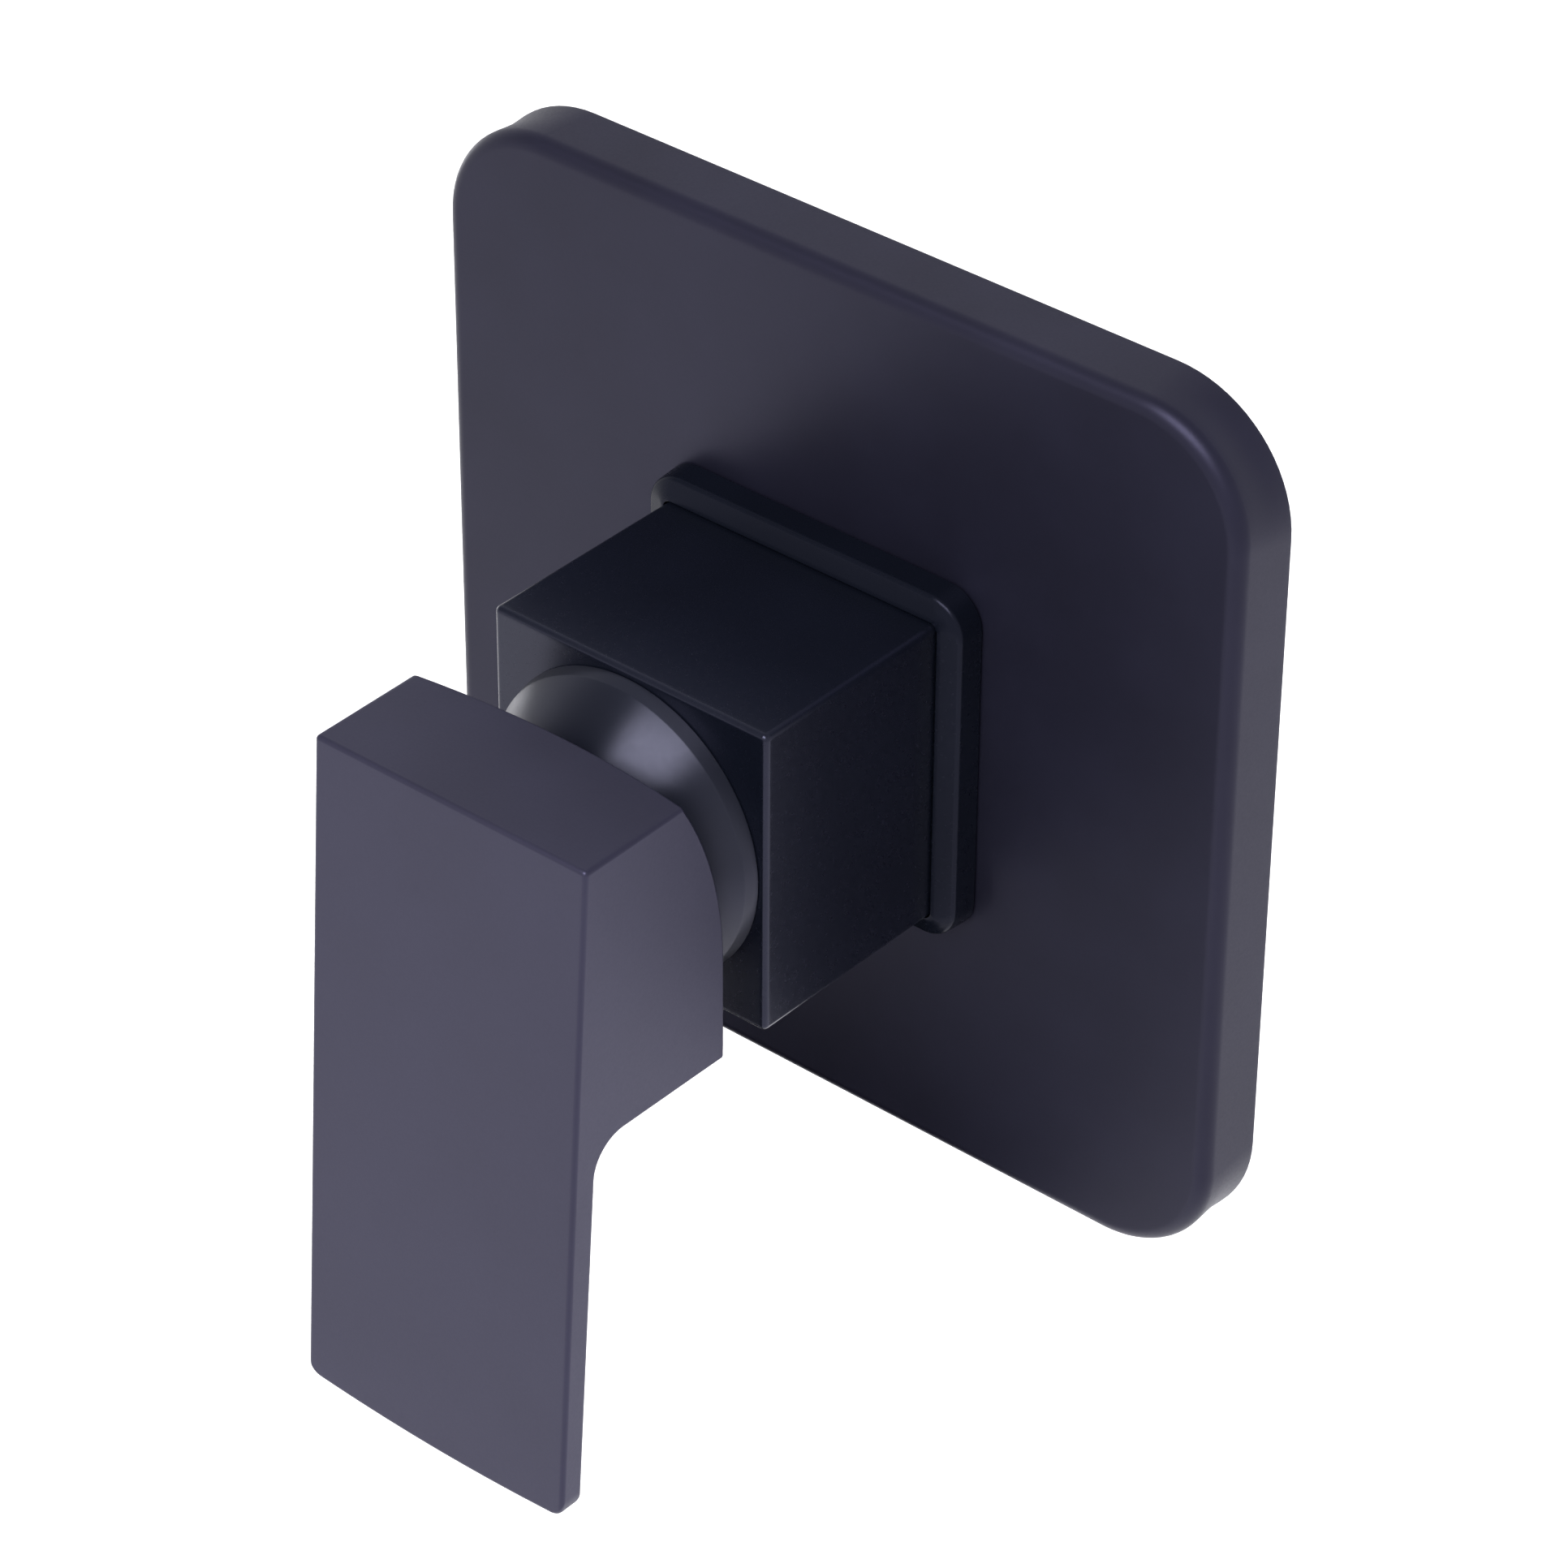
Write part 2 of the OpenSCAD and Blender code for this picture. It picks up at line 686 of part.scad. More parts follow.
// Ceramic disc that slides and turns on the fixed one, with its mixing pocket
module moving_ceramic_disc() {
    color(ceramic) from_wall() translate([0, disc_shift, moving_out]) difference() {
        cylinder(r = moving_disc_r, h = moving_disc_t);
        translate([0, 0, -cut]) linear_extrude(moving_disc_t / 2 + cut) {
            translate([-port_r, mix_low]) square([2 * port_r, mix_high - mix_low]);
            for (up = [mix_low, mix_high]) translate([0, up]) circle(port_r);
        }
        for (side = [-1, 1]) translate([side * peg_at, 0, 0])
            bar(peg_r + run_gap, moving_disc_t - peg_l - run_gap, moving_disc_t + cut);
    }
}

// Carrier on the moving disc, with the socket for the stem's ball
module disc_carrier() {
    color(plastic) from_wall() translate([0, disc_shift, 0]) difference() {
        union() {
            bar(moving_disc_r, carrier_out, carrier_out + carrier_t);
            bar(carrier_boss_r, carrier_out, ball_out + ball_r - 0.6);
            for (side = [-1, 1]) translate([side * peg_at, 0, 0])
                bar(peg_r, carrier_out - peg_l, carrier_out + cut);
        }
        bar(ball_r + run_gap, ball_out - ball_r - 0.4, pivot_out);
    }
}

// Turret that turns in the housing and carries the pivot pin
module lever_turret() {
    slot_half = stem_w / 2 / cos(rest_tilt) + (turret_top - pivot_out) * tan(rest_tilt);
    slot_l = 2 * (slot_half + slot_spare);
    lug_from = housing_shoulder + housing_neck_t + limit_lug_lift;
    color(plastic) from_wall() difference() {
        union() {
            bar(turret_flange_r, turret_bottom, turret_bottom + turret_flange_t);
            bar(turret_r, turret_bottom, turret_top);
            translate([0, 0, lug_from]) linear_extrude(turret_top - lug_from)
                sector(limit_lug_r, lug_at - limit_lug_deg, lug_at + limit_lug_deg);
        }
        translate([-(stem_w + slip_gap) / 2, -slot_l / 2, turret_bottom - cut])
            cube([stem_w + slip_gap, slot_l, turret_top]);
        translate([-turret_r - cut, 0, pivot_out]) rotate([0, 90, 0])
            cylinder(r = pin_r + 0.02, h = 2 * (turret_r + cut), $fn = 48);
    }
}

// Part of a disc between two angles, counted from the right
module sector(r, from, to) {
    intersection() {
        circle(r);
        polygon([[0, 0], 2 * r * [cos(from), sin(from)],
            2 * r * [cos((from + to) / 2), sin((from + to) / 2)] / cos((to - from) / 2),
            2 * r * [cos(to), sin(to)]]);
    }
}

// Steel pin on which the stem tilts
module pivot_pin() {
    color(steel) from_wall() translate([-turret_r + 0.3, 0, pivot_out]) rotate([0, 90, 0])
        cylinder(r = pin_r, h = 2 * (turret_r - 0.3), $fn = 48);
}

// Stem: ball, thin shank, and a square shaft that the pin crosses
module lever_stem() {
    color(steel) from_wall() along_stem() difference() {
        union() {
            translate([0, 0, -ball_arm]) sphere(ball_r);
            bar(ball_r - 1, -ball_arm, -3);
            translate([-stem_w / 2, -stem_w / 2, -4]) cube([stem_w, stem_w, stem_l + 4]);
        }
        translate([-stem_w, 0, 0]) rotate([0, 90, 0])
            cylinder(r = pin_r + run_gap, h = 2 * stem_w, $fn = 48);
    }
}

// Nut that holds the cartridge down in the neck
module retaining_nut() {
    from = housing_shoulder + 2 * face_gap;
    color(brass) from_wall() difference() {
        union() {
            bar(nut_r, from, from + nut_thread_l);
            translate([0, 0, from + nut_thread_l])
                cylinder(r = nut_hex_af / sqrt(3), h = nut_hex_t, $fn = 6);
        }
        bar(nut_in_r, from - cut, from + nut_thread_l + nut_hex_t + cut);
    }
}

// Ring on the housing's neck whose window stops the turret's lug at hot and cold
module hot_limit_ring() {
    window = turn_deg + limit_lug_deg + limit_spare_deg;
    color(red) from_wall()
        translate([0, 0, housing_shoulder + housing_neck_t + face_gap]) linear_extrude(limit_t)
        difference() {
            circle(housing_neck_r);
            circle(turret_r + 0.3);
            sector(limit_lug_r + 0.2, lug_at - window, lug_at + window);
        }
}

wall_plate();
plate_gasket();
sleeve_collar();
collar_seal();
sleeve();
sleeve_o_ring();
dome_cap();
handle();
grub_screw();
screw_plug();
mixer_body();
outlet_plug();
outlet_plug_seal();
cartridge_housing();
cartridge_base();
base_seals();
fixed_ceramic_disc();
moving_ceramic_disc();
disc_carrier();
lever_turret();
pivot_pin();
lever_stem();
retaining_nut();
hot_limit_ring();
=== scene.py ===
"""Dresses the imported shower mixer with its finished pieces, its materials and a plain studio."""

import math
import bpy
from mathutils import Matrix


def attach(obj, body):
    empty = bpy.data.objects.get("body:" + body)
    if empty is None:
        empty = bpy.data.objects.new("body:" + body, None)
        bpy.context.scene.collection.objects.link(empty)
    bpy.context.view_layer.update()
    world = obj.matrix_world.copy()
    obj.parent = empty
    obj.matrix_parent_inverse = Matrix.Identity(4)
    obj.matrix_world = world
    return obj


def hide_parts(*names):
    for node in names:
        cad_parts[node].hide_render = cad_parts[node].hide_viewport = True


bl_info = {
    "name": "Shower Mixer",
    "version": (1, 0, 0),
    "blender": (4, 5, 0),
    "location": "3D Viewport > Sidebar > Shower Mixer",
    "description": "Makes the finished pieces, materials and studio of a wall-mounted shower mixer",
    "category": "Object",
}

import bmesh
import bpy
from bpy.props import FloatProperty, FloatVectorProperty, PointerProperty
from mathutils import Matrix, Vector

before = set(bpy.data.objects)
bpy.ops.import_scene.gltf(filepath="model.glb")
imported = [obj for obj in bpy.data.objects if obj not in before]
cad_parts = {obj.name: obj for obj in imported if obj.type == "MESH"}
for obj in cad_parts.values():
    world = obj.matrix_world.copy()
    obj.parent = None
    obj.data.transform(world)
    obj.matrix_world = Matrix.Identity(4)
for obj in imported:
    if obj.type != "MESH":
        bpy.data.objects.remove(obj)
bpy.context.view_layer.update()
MM = 0.001
QUARTER = math.pi / 2

# Places that the pieces share, in millimetres: x to the right, up, and out from the wall
PLATE_OPEN = 54.8
COLLAR_BACK = 11.25
SLEEVE_BACK = 4.6
SLEEVE_OUT = 53.5
PIVOT_OUT = 40.0
REST_TILT = math.radians(12.5)
BORE_CORNER = 1.3
BRANCH_OUT = -16.0
BRANCH_R = 13.5
CORE_R = 22.0
LUG_R = 7.0
LUG_AT = 40.0
PORT_AT = 44.0
THREAD_LONG = 14.0
THREAD_ROOT = 10.45
THREAD_CREST = 9.3
SLEEVE_HOLE_R = 22.35
SLEEVE_HOLE_DEEP = 9.5
SLEEVE_WALL = 2.0
SKIRT_IN_R = 20.15
SKIRT_R = 21.9
SKIRT_BACK = 41.0
MOUTH_R = 13.0
DOME_WALL = 1.7
BODY_FRONT = 4.0
NECK_R = 20.0
NECK_OUT = 44.0
SEAT_R = 17.55
SEAT_OUT = 12.0
SOFT_EDGE = 0.75
FROM_FRONT = Matrix.Rotation(QUARTER, 4, "X")


# Shapes


def place(x, up, out):
    """A point of the row frame from millimetres to the right, up and out from the wall."""
    return Vector((x * MM, -out * MM, up * MM))


def outline(half_w, half_h, radius, corner_steps=14, side_steps=10, dip=0.0):
    """Points round a rectangle with round corners; dip pulls the middle of each corner in."""
    centres = [(1, -1), (1, 1), (-1, 1), (-1, -1)]
    points = []
    for k, (side_x, side_up) in enumerate(centres):
        cx, cu = side_x * (half_w - radius), side_up * (half_h - radius)
        for i in range(corner_steps + 1):
            turn = QUARTER * (k - 1 + i / corner_steps)
            reach = radius - dip * math.sin(math.pi * i / corner_steps) ** 2
            points.append((cx + reach * math.cos(turn), cu + reach * math.sin(turn)))
        nx, nu = centres[(k + 1) % 4]
        start = points[-1]
        turn = QUARTER * k
        end = (nx * (half_w - radius) + radius * math.cos(turn),
               nu * (half_h - radius) + radius * math.sin(turn))
        for i in range(1, side_steps):
            share = i / side_steps
            points.append((start[0] + (end[0] - start[0]) * share,
                           start[1] + (end[1] - start[1]) * share))
    return points


def circle_like(points, radius):
    """Points on a circle, each in the direction of the matching point of an outline."""
    return [(x * radius / math.hypot(x, u), u * radius / math.hypot(x, u)) for x, u in points]


def level(points, out):
    """An outline laid at one distance from the wall."""
    return [place(x, u, out) for x, u in points]


def arc(radius, start, end, steps, centre=(0.0, 0.0)):
    """Points on an arc, with both ends."""
    return [(centre[0] + radius * math.cos(start + (end - start) * i / steps),
             centre[1] + radius * math.sin(start + (end - start) * i / steps))
            for i in range(steps + 1)]


def new_piece(name, mesh_maker, smooth_angle=32.0):
    """A mesh object made from a bmesh, with outward faces and soft shading below an angle."""
    mesh = bpy.data.meshes.new(name)
    bm = bmesh.new()
    mesh_maker(bm)
    bmesh.ops.remove_doubles(bm, verts=bm.verts, dist=1e-7)
    bmesh.ops.recalc_face_normals(bm, faces=bm.faces)
    bm.to_mesh(mesh)
    bm.free()
    piece = bpy.data.objects.new(name, mesh)
    bpy.context.collection.objects.link(piece)
    if smooth_angle:
        soften(piece, smooth_angle)
    return piece


def soften(piece, angle):
    """Shades a piece smooth apart from sharp edges, with its large faces kept flat."""
    mesh = piece.data
    mesh.polygons.foreach_set("use_smooth", [True] * len(mesh.polygons))
    mesh.set_sharp_from_angle(angle=math.radians(angle))
    flat = piece.modifiers.new("flat", "WEIGHTED_NORMAL")
    flat.keep_sharp, flat.mode, flat.weight = True, "FACE_AREA", 50
    settle(piece)


def settle(piece):
    """Turns a piece's modifiers into plain mesh."""
    graph = bpy.context.evaluated_depsgraph_get()
    result = bpy.data.meshes.new_from_object(piece.evaluated_get(graph))
    piece.modifiers.clear()
    old, piece.data = piece.data, result
    bpy.data.meshes.remove(old)
    result.name = piece.name


def skin_rings(bm, rings, closed=False, capped=False):
    """Joins rings of equally many points; closed joins the last to the first."""
    laid = [[bm.verts.new(p) for p in ring] for ring in rings]
    pairs = list(zip(laid, laid[1:] + laid[:1])) if closed else list(zip(laid, laid[1:]))
    for low, high in pairs:
        for i in range(len(low)):
            j = (i + 1) % len(low)
            bm.faces.new((low[i], low[j], high[j], high[i]))
    if capped:
        bm.faces.new(laid[0])
        bm.faces.new(laid[-1])


def combine(piece, tools, operation="DIFFERENCE", solver="MANIFOLD"):
    """Cuts tools out of a piece, or joins them to it, and removes them."""
    for tool in tools:
        change = piece.modifiers.new("combine", "BOOLEAN")
        change.operation, change.solver, change.object = operation, solver, tool
        settle(piece)
        bpy.data.objects.remove(tool)


# Geometry Nodes


class Tree:
    """A geometry node tree with named inputs, ending in real geometry with one finish."""

    def __init__(self, name):
        self.tree = bpy.data.node_groups.new(name, "GeometryNodeTree")
        self.tree.is_modifier = True
        self.inputs = {}
        self.source = self.socket("Geometry", "NodeSocketGeometry")
        self.tree.interface.new_socket("Geometry", in_out="OUTPUT",
                                       socket_type="NodeSocketGeometry")
        self.group_in = self.tree.nodes.new("NodeGroupInput")

    def socket(self, name, kind):
        item = self.tree.interface.new_socket(name, in_out="INPUT", socket_type=kind)
        self.inputs[name] = item.identifier
        return item

    def value(self, name, kind="NodeSocketFloat"):
        """A named input of the tree, as an output to link from."""
        if name not in self.inputs:
            self.socket(name, kind)
        return self.group_in.outputs[name]

    def add(self, kind, links=None, **settings):
        """A node with its settings; links holds what feeds its inputs, or plain values."""
        made = self.tree.nodes.new(kind)
        for key, value in settings.items():
            setattr(made, key, value)
        for key, value in (links or {}).items():
            if isinstance(value, bpy.types.NodeSocket):
                self.tree.links.new(value, made.inputs[key])
            else:
                made.inputs[key].default_value = value
        return made

    def close(self, geometry):
        """Ends the tree in Realize Instances and Set Material."""
        real = self.add("GeometryNodeRealizeInstances", {"Geometry": geometry})
        finish = self.value("Finish", "NodeSocketMaterial")
        last = self.add("GeometryNodeSetMaterial", {"Geometry": real.outputs[0],
                                                    "Material": finish})
        out = self.tree.nodes.new("NodeGroupOutput")
        self.tree.links.new(last.outputs[0], out.inputs[0])

    def grow(self, name, points, edges, values, turn=None, facing=None):
        """Runs the tree on a start mesh, turns the result and makes it plain mesh."""
        mesh = bpy.data.meshes.new(name)
        mesh.from_pydata(points, edges, [])
        if facing:
            layer = mesh.attributes.new("facing", "FLOAT_VECTOR", "POINT")
            for item, direction in zip(layer.data, facing):
                item.vector = direction
        piece = bpy.data.objects.new(name, mesh)
        bpy.context.collection.objects.link(piece)
        change = piece.modifiers.new("form", "NODES")
        change.node_group = self.tree
        for key, value in values.items():
            change[self.inputs[key]] = value
        settle(piece)
        if turn:
            piece.data.transform(turn)
        tidy = bmesh.new()
        tidy.from_mesh(piece.data)
        bmesh.ops.remove_doubles(tidy, verts=tidy.verts, dist=1e-7)
        bmesh.ops.recalc_face_normals(tidy, faces=tidy.faces)
        tidy.to_mesh(piece.data)
        tidy.free()
        return piece


def loop_edges(count):
    """Edges that close a loop of points."""
    return [(i, (i + 1) % count) for i in range(count)]


def turned_tree():
    """Sweeps a section round a circle: inputs Path radius and Steps."""
    tree = Tree("turned_form")
    section = tree.add("GeometryNodeMeshToCurve", {"Mesh": tree.group_in.outputs["Geometry"]})
    circle = tree.add("GeometryNodeCurvePrimitiveCircle",
                      {"Radius": tree.value("Path radius"),
                       "Resolution": tree.value("Steps", "NodeSocketInt")})
    skin = tree.add("GeometryNodeCurveToMesh", {"Curve": circle.outputs[0],
                                                "Profile Curve": section.outputs[0]})
    tree.close(skin.outputs[0])
    return tree


def frame_tree():
    """Sweeps a section round a rectangle with round corners."""
    tree = Tree("strip_round_a_frame")
    section = tree.add("GeometryNodeMeshToCurve", {"Mesh": tree.group_in.outputs["Geometry"]})
    path = tree.add("GeometryNodeCurvePrimitiveQuadrilateral",
                    {"Width": tree.value("Width"), "Height": tree.value("Height")},
                    mode="RECTANGLE")
    bent = tree.add("GeometryNodeFilletCurve",
                    {"Curve": path.outputs[0], "Radius": tree.value("Corner"),
                     "Count": tree.value("Steps", "NodeSocketInt")}, mode="POLY")
    skin = tree.add("GeometryNodeCurveToMesh", {"Curve": bent.outputs[0],
                                                "Profile Curve": section.outputs[0]})
    tree.close(skin.outputs[0])
    return tree


def thread_tree():
    """Winds a pipe thread's ridge and sets one at each port, along its facing."""
    tree = Tree("pipe_thread")
    depth, pitch = tree.value("Depth"), tree.value("Pitch")
    turns = tree.value("Turns")
    rise = tree.add("ShaderNodeMath", {0: pitch, 1: turns}, operation="MULTIPLY")
    path = tree.add("GeometryNodeCurveSpiral",
                    {"Resolution": tree.value("Steps", "NodeSocketInt"), "Rotations": turns,
                     "Start Radius": tree.value("Middle radius"),
                     "End Radius": tree.value("Middle radius"), "Height": rise.outputs[0]})
    level_path = tree.add("GeometryNodeSetCurveNormal", {"Curve": path.outputs[0]})
    if "Mode" in level_path.inputs:
        level_path.inputs["Mode"].default_value = "Z Up"
    else:
        level_path.mode = "Z_UP"
    foot = tree.add("ShaderNodeMath", {0: pitch, 1: 0.86}, operation="MULTIPLY")
    crest = tree.add("ShaderNodeMath", {0: pitch, 1: 0.14}, operation="MULTIPLY")
    ridge = tree.add("GeometryNodeCurvePrimitiveQuadrilateral",
                     {"Height": depth, "Bottom Width": foot.outputs[0],
                      "Top Width": crest.outputs[0], "Offset": 0.0}, mode="TRAPEZOID")
    upright = tree.add("GeometryNodeTransform",
                       {"Geometry": ridge.outputs[0], "Rotation": (0.0, 0.0, QUARTER)})
    skin = tree.add("GeometryNodeCurveToMesh",
                    {"Curve": level_path.outputs[0], "Profile Curve": upright.outputs[0],
                     "Fill Caps": True})
    facing = tree.add("GeometryNodeInputNamedAttribute", {"Name": "facing"},
                      data_type="FLOAT_VECTOR")
    turn = tree.add("FunctionNodeAlignRotationToVector", {"Vector": facing.outputs[0]}, axis="Z")
    placed = tree.add("GeometryNodeInstanceOnPoints",
                      {"Points": tree.group_in.outputs["Geometry"], "Instance": skin.outputs[0],
                       "Rotation": turn.outputs[0]})
    tree.close(placed.outputs[0])
    return tree


# Wall plate


def wall_plate_rings(sizes):
    """Rings of the pressed plate: rim, flared side, rounded edge, face, opening and inside."""
    half_w, half_h = sizes.plate_width / 2 / MM, sizes.plate_height / 2 / MM
    front, edge = sizes.plate_stand / MM, sizes.plate_edge / MM
    back_r, front_r = sizes.plate_corner_back / MM, sizes.plate_corner_front / MM
    sheet, flare, rim_r = 1.6, 0.5, 0.45
    wall_top = front - edge
    rings = []

    def ring(inset, radius, out, dip=0.0):
        rings.append(level(outline(half_w - inset, half_h - inset, radius, 18, 14, dip), out))

    ring(sheet, back_r - sheet, 0.0)
    ring(rim_r + 0.2, back_r - rim_r - 0.2, 0.0)
    for inset, out in arc(rim_r, -QUARTER, -2 * QUARTER, 4, (rim_r, rim_r)):
        ring(inset, back_r - inset, out)
    for i in range(1, 13):
        share = i / 12
        radius = back_r + (front_r - back_r) * share
        hollow = sizes.plate_corner_dip / MM * math.sin(math.pi * share) ** 1.5
        ring(flare * share, radius, rim_r + (wall_top - rim_r) * share, hollow)
    for fall, rise in arc(edge, 2 * QUARTER, QUARTER, 12, (edge, 0.0))[1:]:
        ring(flare + fall, front_r - fall, wall_top + rise)
    ring(flare + edge + 0.4, front_r - edge - 0.4, front)
    inner = PLATE_OPEN / 2
    for share in (0.25, 0.5, 0.75):
        inset = (flare + edge) * (1 - share) + (half_w - inner - 0.4) * share
        ring(inset, (front_r - edge) * (1 - share) + 4.0 * share, front)
    for out, grow in ((front, 0.4), (front - 0.1, 0.1), (front - 0.4, 0.0),
                      (front - sheet, 0.0), (front - sheet, 0.4)):
        rings.append(level(outline(inner + grow, inner + grow, 3.0 + grow, 18, 14), out))
    ring(flare + edge + 0.4, front_r - edge - 0.4, front - sheet)
    inner_edge = edge - sheet + 0.2
    for fall, rise in arc(inner_edge, QUARTER, 2 * QUARTER, 5, (inner_edge, 0.0)):
        ring(flare + sheet + fall, front_r - sheet - fall, front - sheet - inner_edge + rise)
    return rings


def collar_rings(sizes):
    """Rings of the collar: back, tapered side, small round ridge, rising front, and neck."""
    half, radius = sizes.collar_width / 2 / MM, sizes.collar_corner / MM
    ridge, front, edge = sizes.collar_ridge / MM, sizes.collar_front / MM, sizes.collar_edge / MM
    bore = sizes.sleeve_width / 2 / MM + 0.3
    neck = PLATE_OPEN / 2 - 0.15
    taper = 0.3
    rings = []

    def ring(inset, out, share=0.0):
        r = (radius - inset) * (1 - share) + BORE_CORNER * share
        rings.append(level(outline(half - inset, half - inset, r, 12, 10), out))

    ring(half - neck, COLLAR_BACK - 4.0, 1.0)
    ring(half - neck, COLLAR_BACK, 1.0)
    ring(0.35, COLLAR_BACK)
    ring(0.0, COLLAR_BACK + 0.3)
    section = rounded((half, COLLAR_BACK), (half - taper, ridge), (bore, front), edge, 10)
    for x, out, _ in section:
        ring(half - x, out)
    start_x, start_out = section[-1][0], section[-1][1]
    for share in (0.25, 0.5, 0.75, 0.94):
        ring(half - start_x + (start_x - bore) * share, start_out + (front - start_out) * share,
             share)
    ring(half - bore, front - 0.1, 1.0)
    ring(half - bore, COLLAR_BACK - 4.0, 1.0)
    return rings


def sleeve_rings(sizes):
    """Rings of the sleeve: outside, rounded front edge, face, round hole and inside."""
    half = sizes.sleeve_width / 2 / MM
    edge, front = sizes.sleeve_edge / MM, sizes.sleeve_front_edge / MM
    rings = []

    def ring(inset, out, r):
        rings.append(level(outline(half - inset, half - inset, r, 10, 22), out))

    ring(0.3, SLEEVE_BACK, edge)
    ring(0.0, SLEEVE_BACK + 0.3, edge)
    ring(0.0, SLEEVE_OUT - front - 0.5, edge)
    for fall, rise in arc(front, 2 * QUARTER, QUARTER, 8, (front, 0.0)):
        ring(fall, SLEEVE_OUT - front + rise, max(edge - fall, 0.12))
    ring(front + 0.3, SLEEVE_OUT, 0.12)
    guide = outline(half - front, half - front, 0.12, 10, 22)
    hole, deep = SLEEVE_HOLE_R, SLEEVE_OUT - SLEEVE_HOLE_DEEP
    for r, out in ((hole + 0.5, SLEEVE_OUT), (hole + 0.15, SLEEVE_OUT), (hole, SLEEVE_OUT - 0.15),
                   (hole, deep), (hole + 0.1, deep)):
        rings.append(level(circle_like(guide, r), out))
    ring(SLEEVE_WALL, deep, 1.0)
    ring(SLEEVE_WALL, SLEEVE_BACK, 1.0)
    return rings


def dome_radius(sizes):
    """Radius of the dome in millimetres; its centre is the lever's pivot."""
    rim, rim_top = (sizes.cap_radius - sizes.cap_taper) / MM, SLEEVE_OUT + sizes.cap_rim / MM
    return math.hypot(rim, rim_top - PIVOT_OUT)


def dome_profile(sizes):
    """Loop of the domed cap: skirt, tapered rim, soft edge, dome, mouth and inside."""
    rim, rim_top = sizes.cap_radius / MM, SLEEVE_OUT + sizes.cap_rim / MM
    top = rim - sizes.cap_taper / MM
    dome = dome_radius(sizes)
    start = math.atan2(rim_top - PIVOT_OUT, top)

    def on_dome(angle, radius):
        return radius * math.cos(angle), PIVOT_OUT + radius * math.sin(angle)

    loop = [(SKIRT_IN_R, SKIRT_BACK), (SKIRT_R, SKIRT_BACK), (SKIRT_R, SLEEVE_OUT + 0.05)]
    loop += arc(0.2, -QUARTER, 0.0, 3, (rim - 0.2, SLEEVE_OUT + 0.25))
    edge = sizes.cap_edge / MM
    after = on_dome(start + 0.05, dome)
    loop += [point[:2] for point in rounded((rim, SLEEVE_OUT + 0.25), (top, rim_top), after,
                                            edge, 8)]
    first = math.atan2(loop[-1][1] - PIVOT_OUT, loop[-1][0]) + 0.01
    end = math.acos(MOUTH_R / dome)
    loop += [on_dome(first + (end - first) * i / 22, dome) for i in range(23)]
    inner = dome - DOME_WALL
    inner_end, inner_start = math.acos(MOUTH_R / inner), math.acos(SKIRT_IN_R / inner)
    loop += [on_dome(inner_end + (inner_start - inner_end) * i / 12, inner) for i in range(13)]
    return loop


# Brass body


def branch_frame(k):
    """Turns millimetres across and along one of the four branches into the row frame."""
    dx, du = round(math.cos(QUARTER * k)), round(math.sin(QUARTER * k))
    return lambda a, b, along: place(along * dx - a * du, along * du + a * dx, BRANCH_OUT + b)


def lathe(bm, put, profile, sides=96, at=(0.0, 0.0)):
    """A closed turned solid along a frame's third direction, from (radius, along) points."""
    rings = []
    for r, along in profile:
        rings.append([put(at[0] + r * math.cos(2 * math.pi * i / sides),
                          at[1] + r * math.sin(2 * math.pi * i / sides), along)
                      for i in range(sides)])
    skin_rings(bm, rings, capped=True)


def tool(name, put, profile, sides=96, at=(0.0, 0.0)):
    """A turned solid as an object, to cut another with or to join to it."""
    return cutter(name, lambda bm: lathe(bm, put, profile, sides, at))


def cast_form(bm):
    """The casting's rough solids: core, four branches and four lug arms."""
    lathe(bm, place, [(CORE_R, -30.0), (CORE_R, BODY_FRONT)])
    for k in range(4):
        lathe(bm, branch_frame(k), [(BRANCH_R, 0.0), (BRANCH_R, 47.0)])
    for k in range(4):
        turn = QUARTER * (k + 0.5)
        rows = []
        for out in (0.0, BODY_FRONT):
            ends = arc(LUG_R, -QUARTER, QUARTER, 20, (LUG_AT, 0.0))
            ends += arc(LUG_R, QUARTER, 3 * QUARTER, 20)
            rows.append([place(x * math.cos(turn) - u * math.sin(turn),
                               x * math.sin(turn) + u * math.cos(turn), out) for x, u in ends])
        skin_rings(bm, rows, capped=True)


def body_tools():
    """Solids that cut the body's end faces, bores, threads' roots and holes."""
    tools = []
    for k in range(4):
        put = branch_frame(k)
        tools.append(tool("cut_end", put, [(12.7, PORT_AT), (15.0, PORT_AT - 2.3),
                                           (16.0, PORT_AT + 6), (12.7, PORT_AT + 6)]))
        way, start = (6.0, 7.0) if k in (0, 2) else (4.5, 0.0)
        root = 9.3 if k == 3 else THREAD_ROOT
        foot = PORT_AT - THREAD_LONG
        tools.append(tool("cut_bore", put, [(way, start), (way, foot), (root, foot + 0.01),
                                            (root, PORT_AT - 0.8), (root + 1.0, PORT_AT + 0.2)]))
        turn = QUARTER * (k + 0.5)
        tools.append(tool("cut_hole", place, [(2.7, -1.0), (2.7, 5.0)], 48,
                          (LUG_AT * math.cos(turn), LUG_AT * math.sin(turn))))
    for x, up in ((-8.0, -4.0), (8.0, -4.0), (0.0, 8.5)):
        tools.append(tool("cut_way", place, [(3.9, BRANCH_OUT), (3.9, SEAT_OUT + 1.0)], 48,
                          (x, up)))
    for x in (-11.0, 11.0):
        tools.append(tool("cut_pin", place, [(1.65, 9.0), (1.65, SEAT_OUT + 1.0)], 32, (x, 9.0)))
    tools.append(tool("cut_seat", place, [(SEAT_R, SEAT_OUT), (SEAT_R, 39.0), (18.3, 39.01),
                                          (18.3, 43.6), (18.7, NECK_OUT + 0.2)]))
    return tools


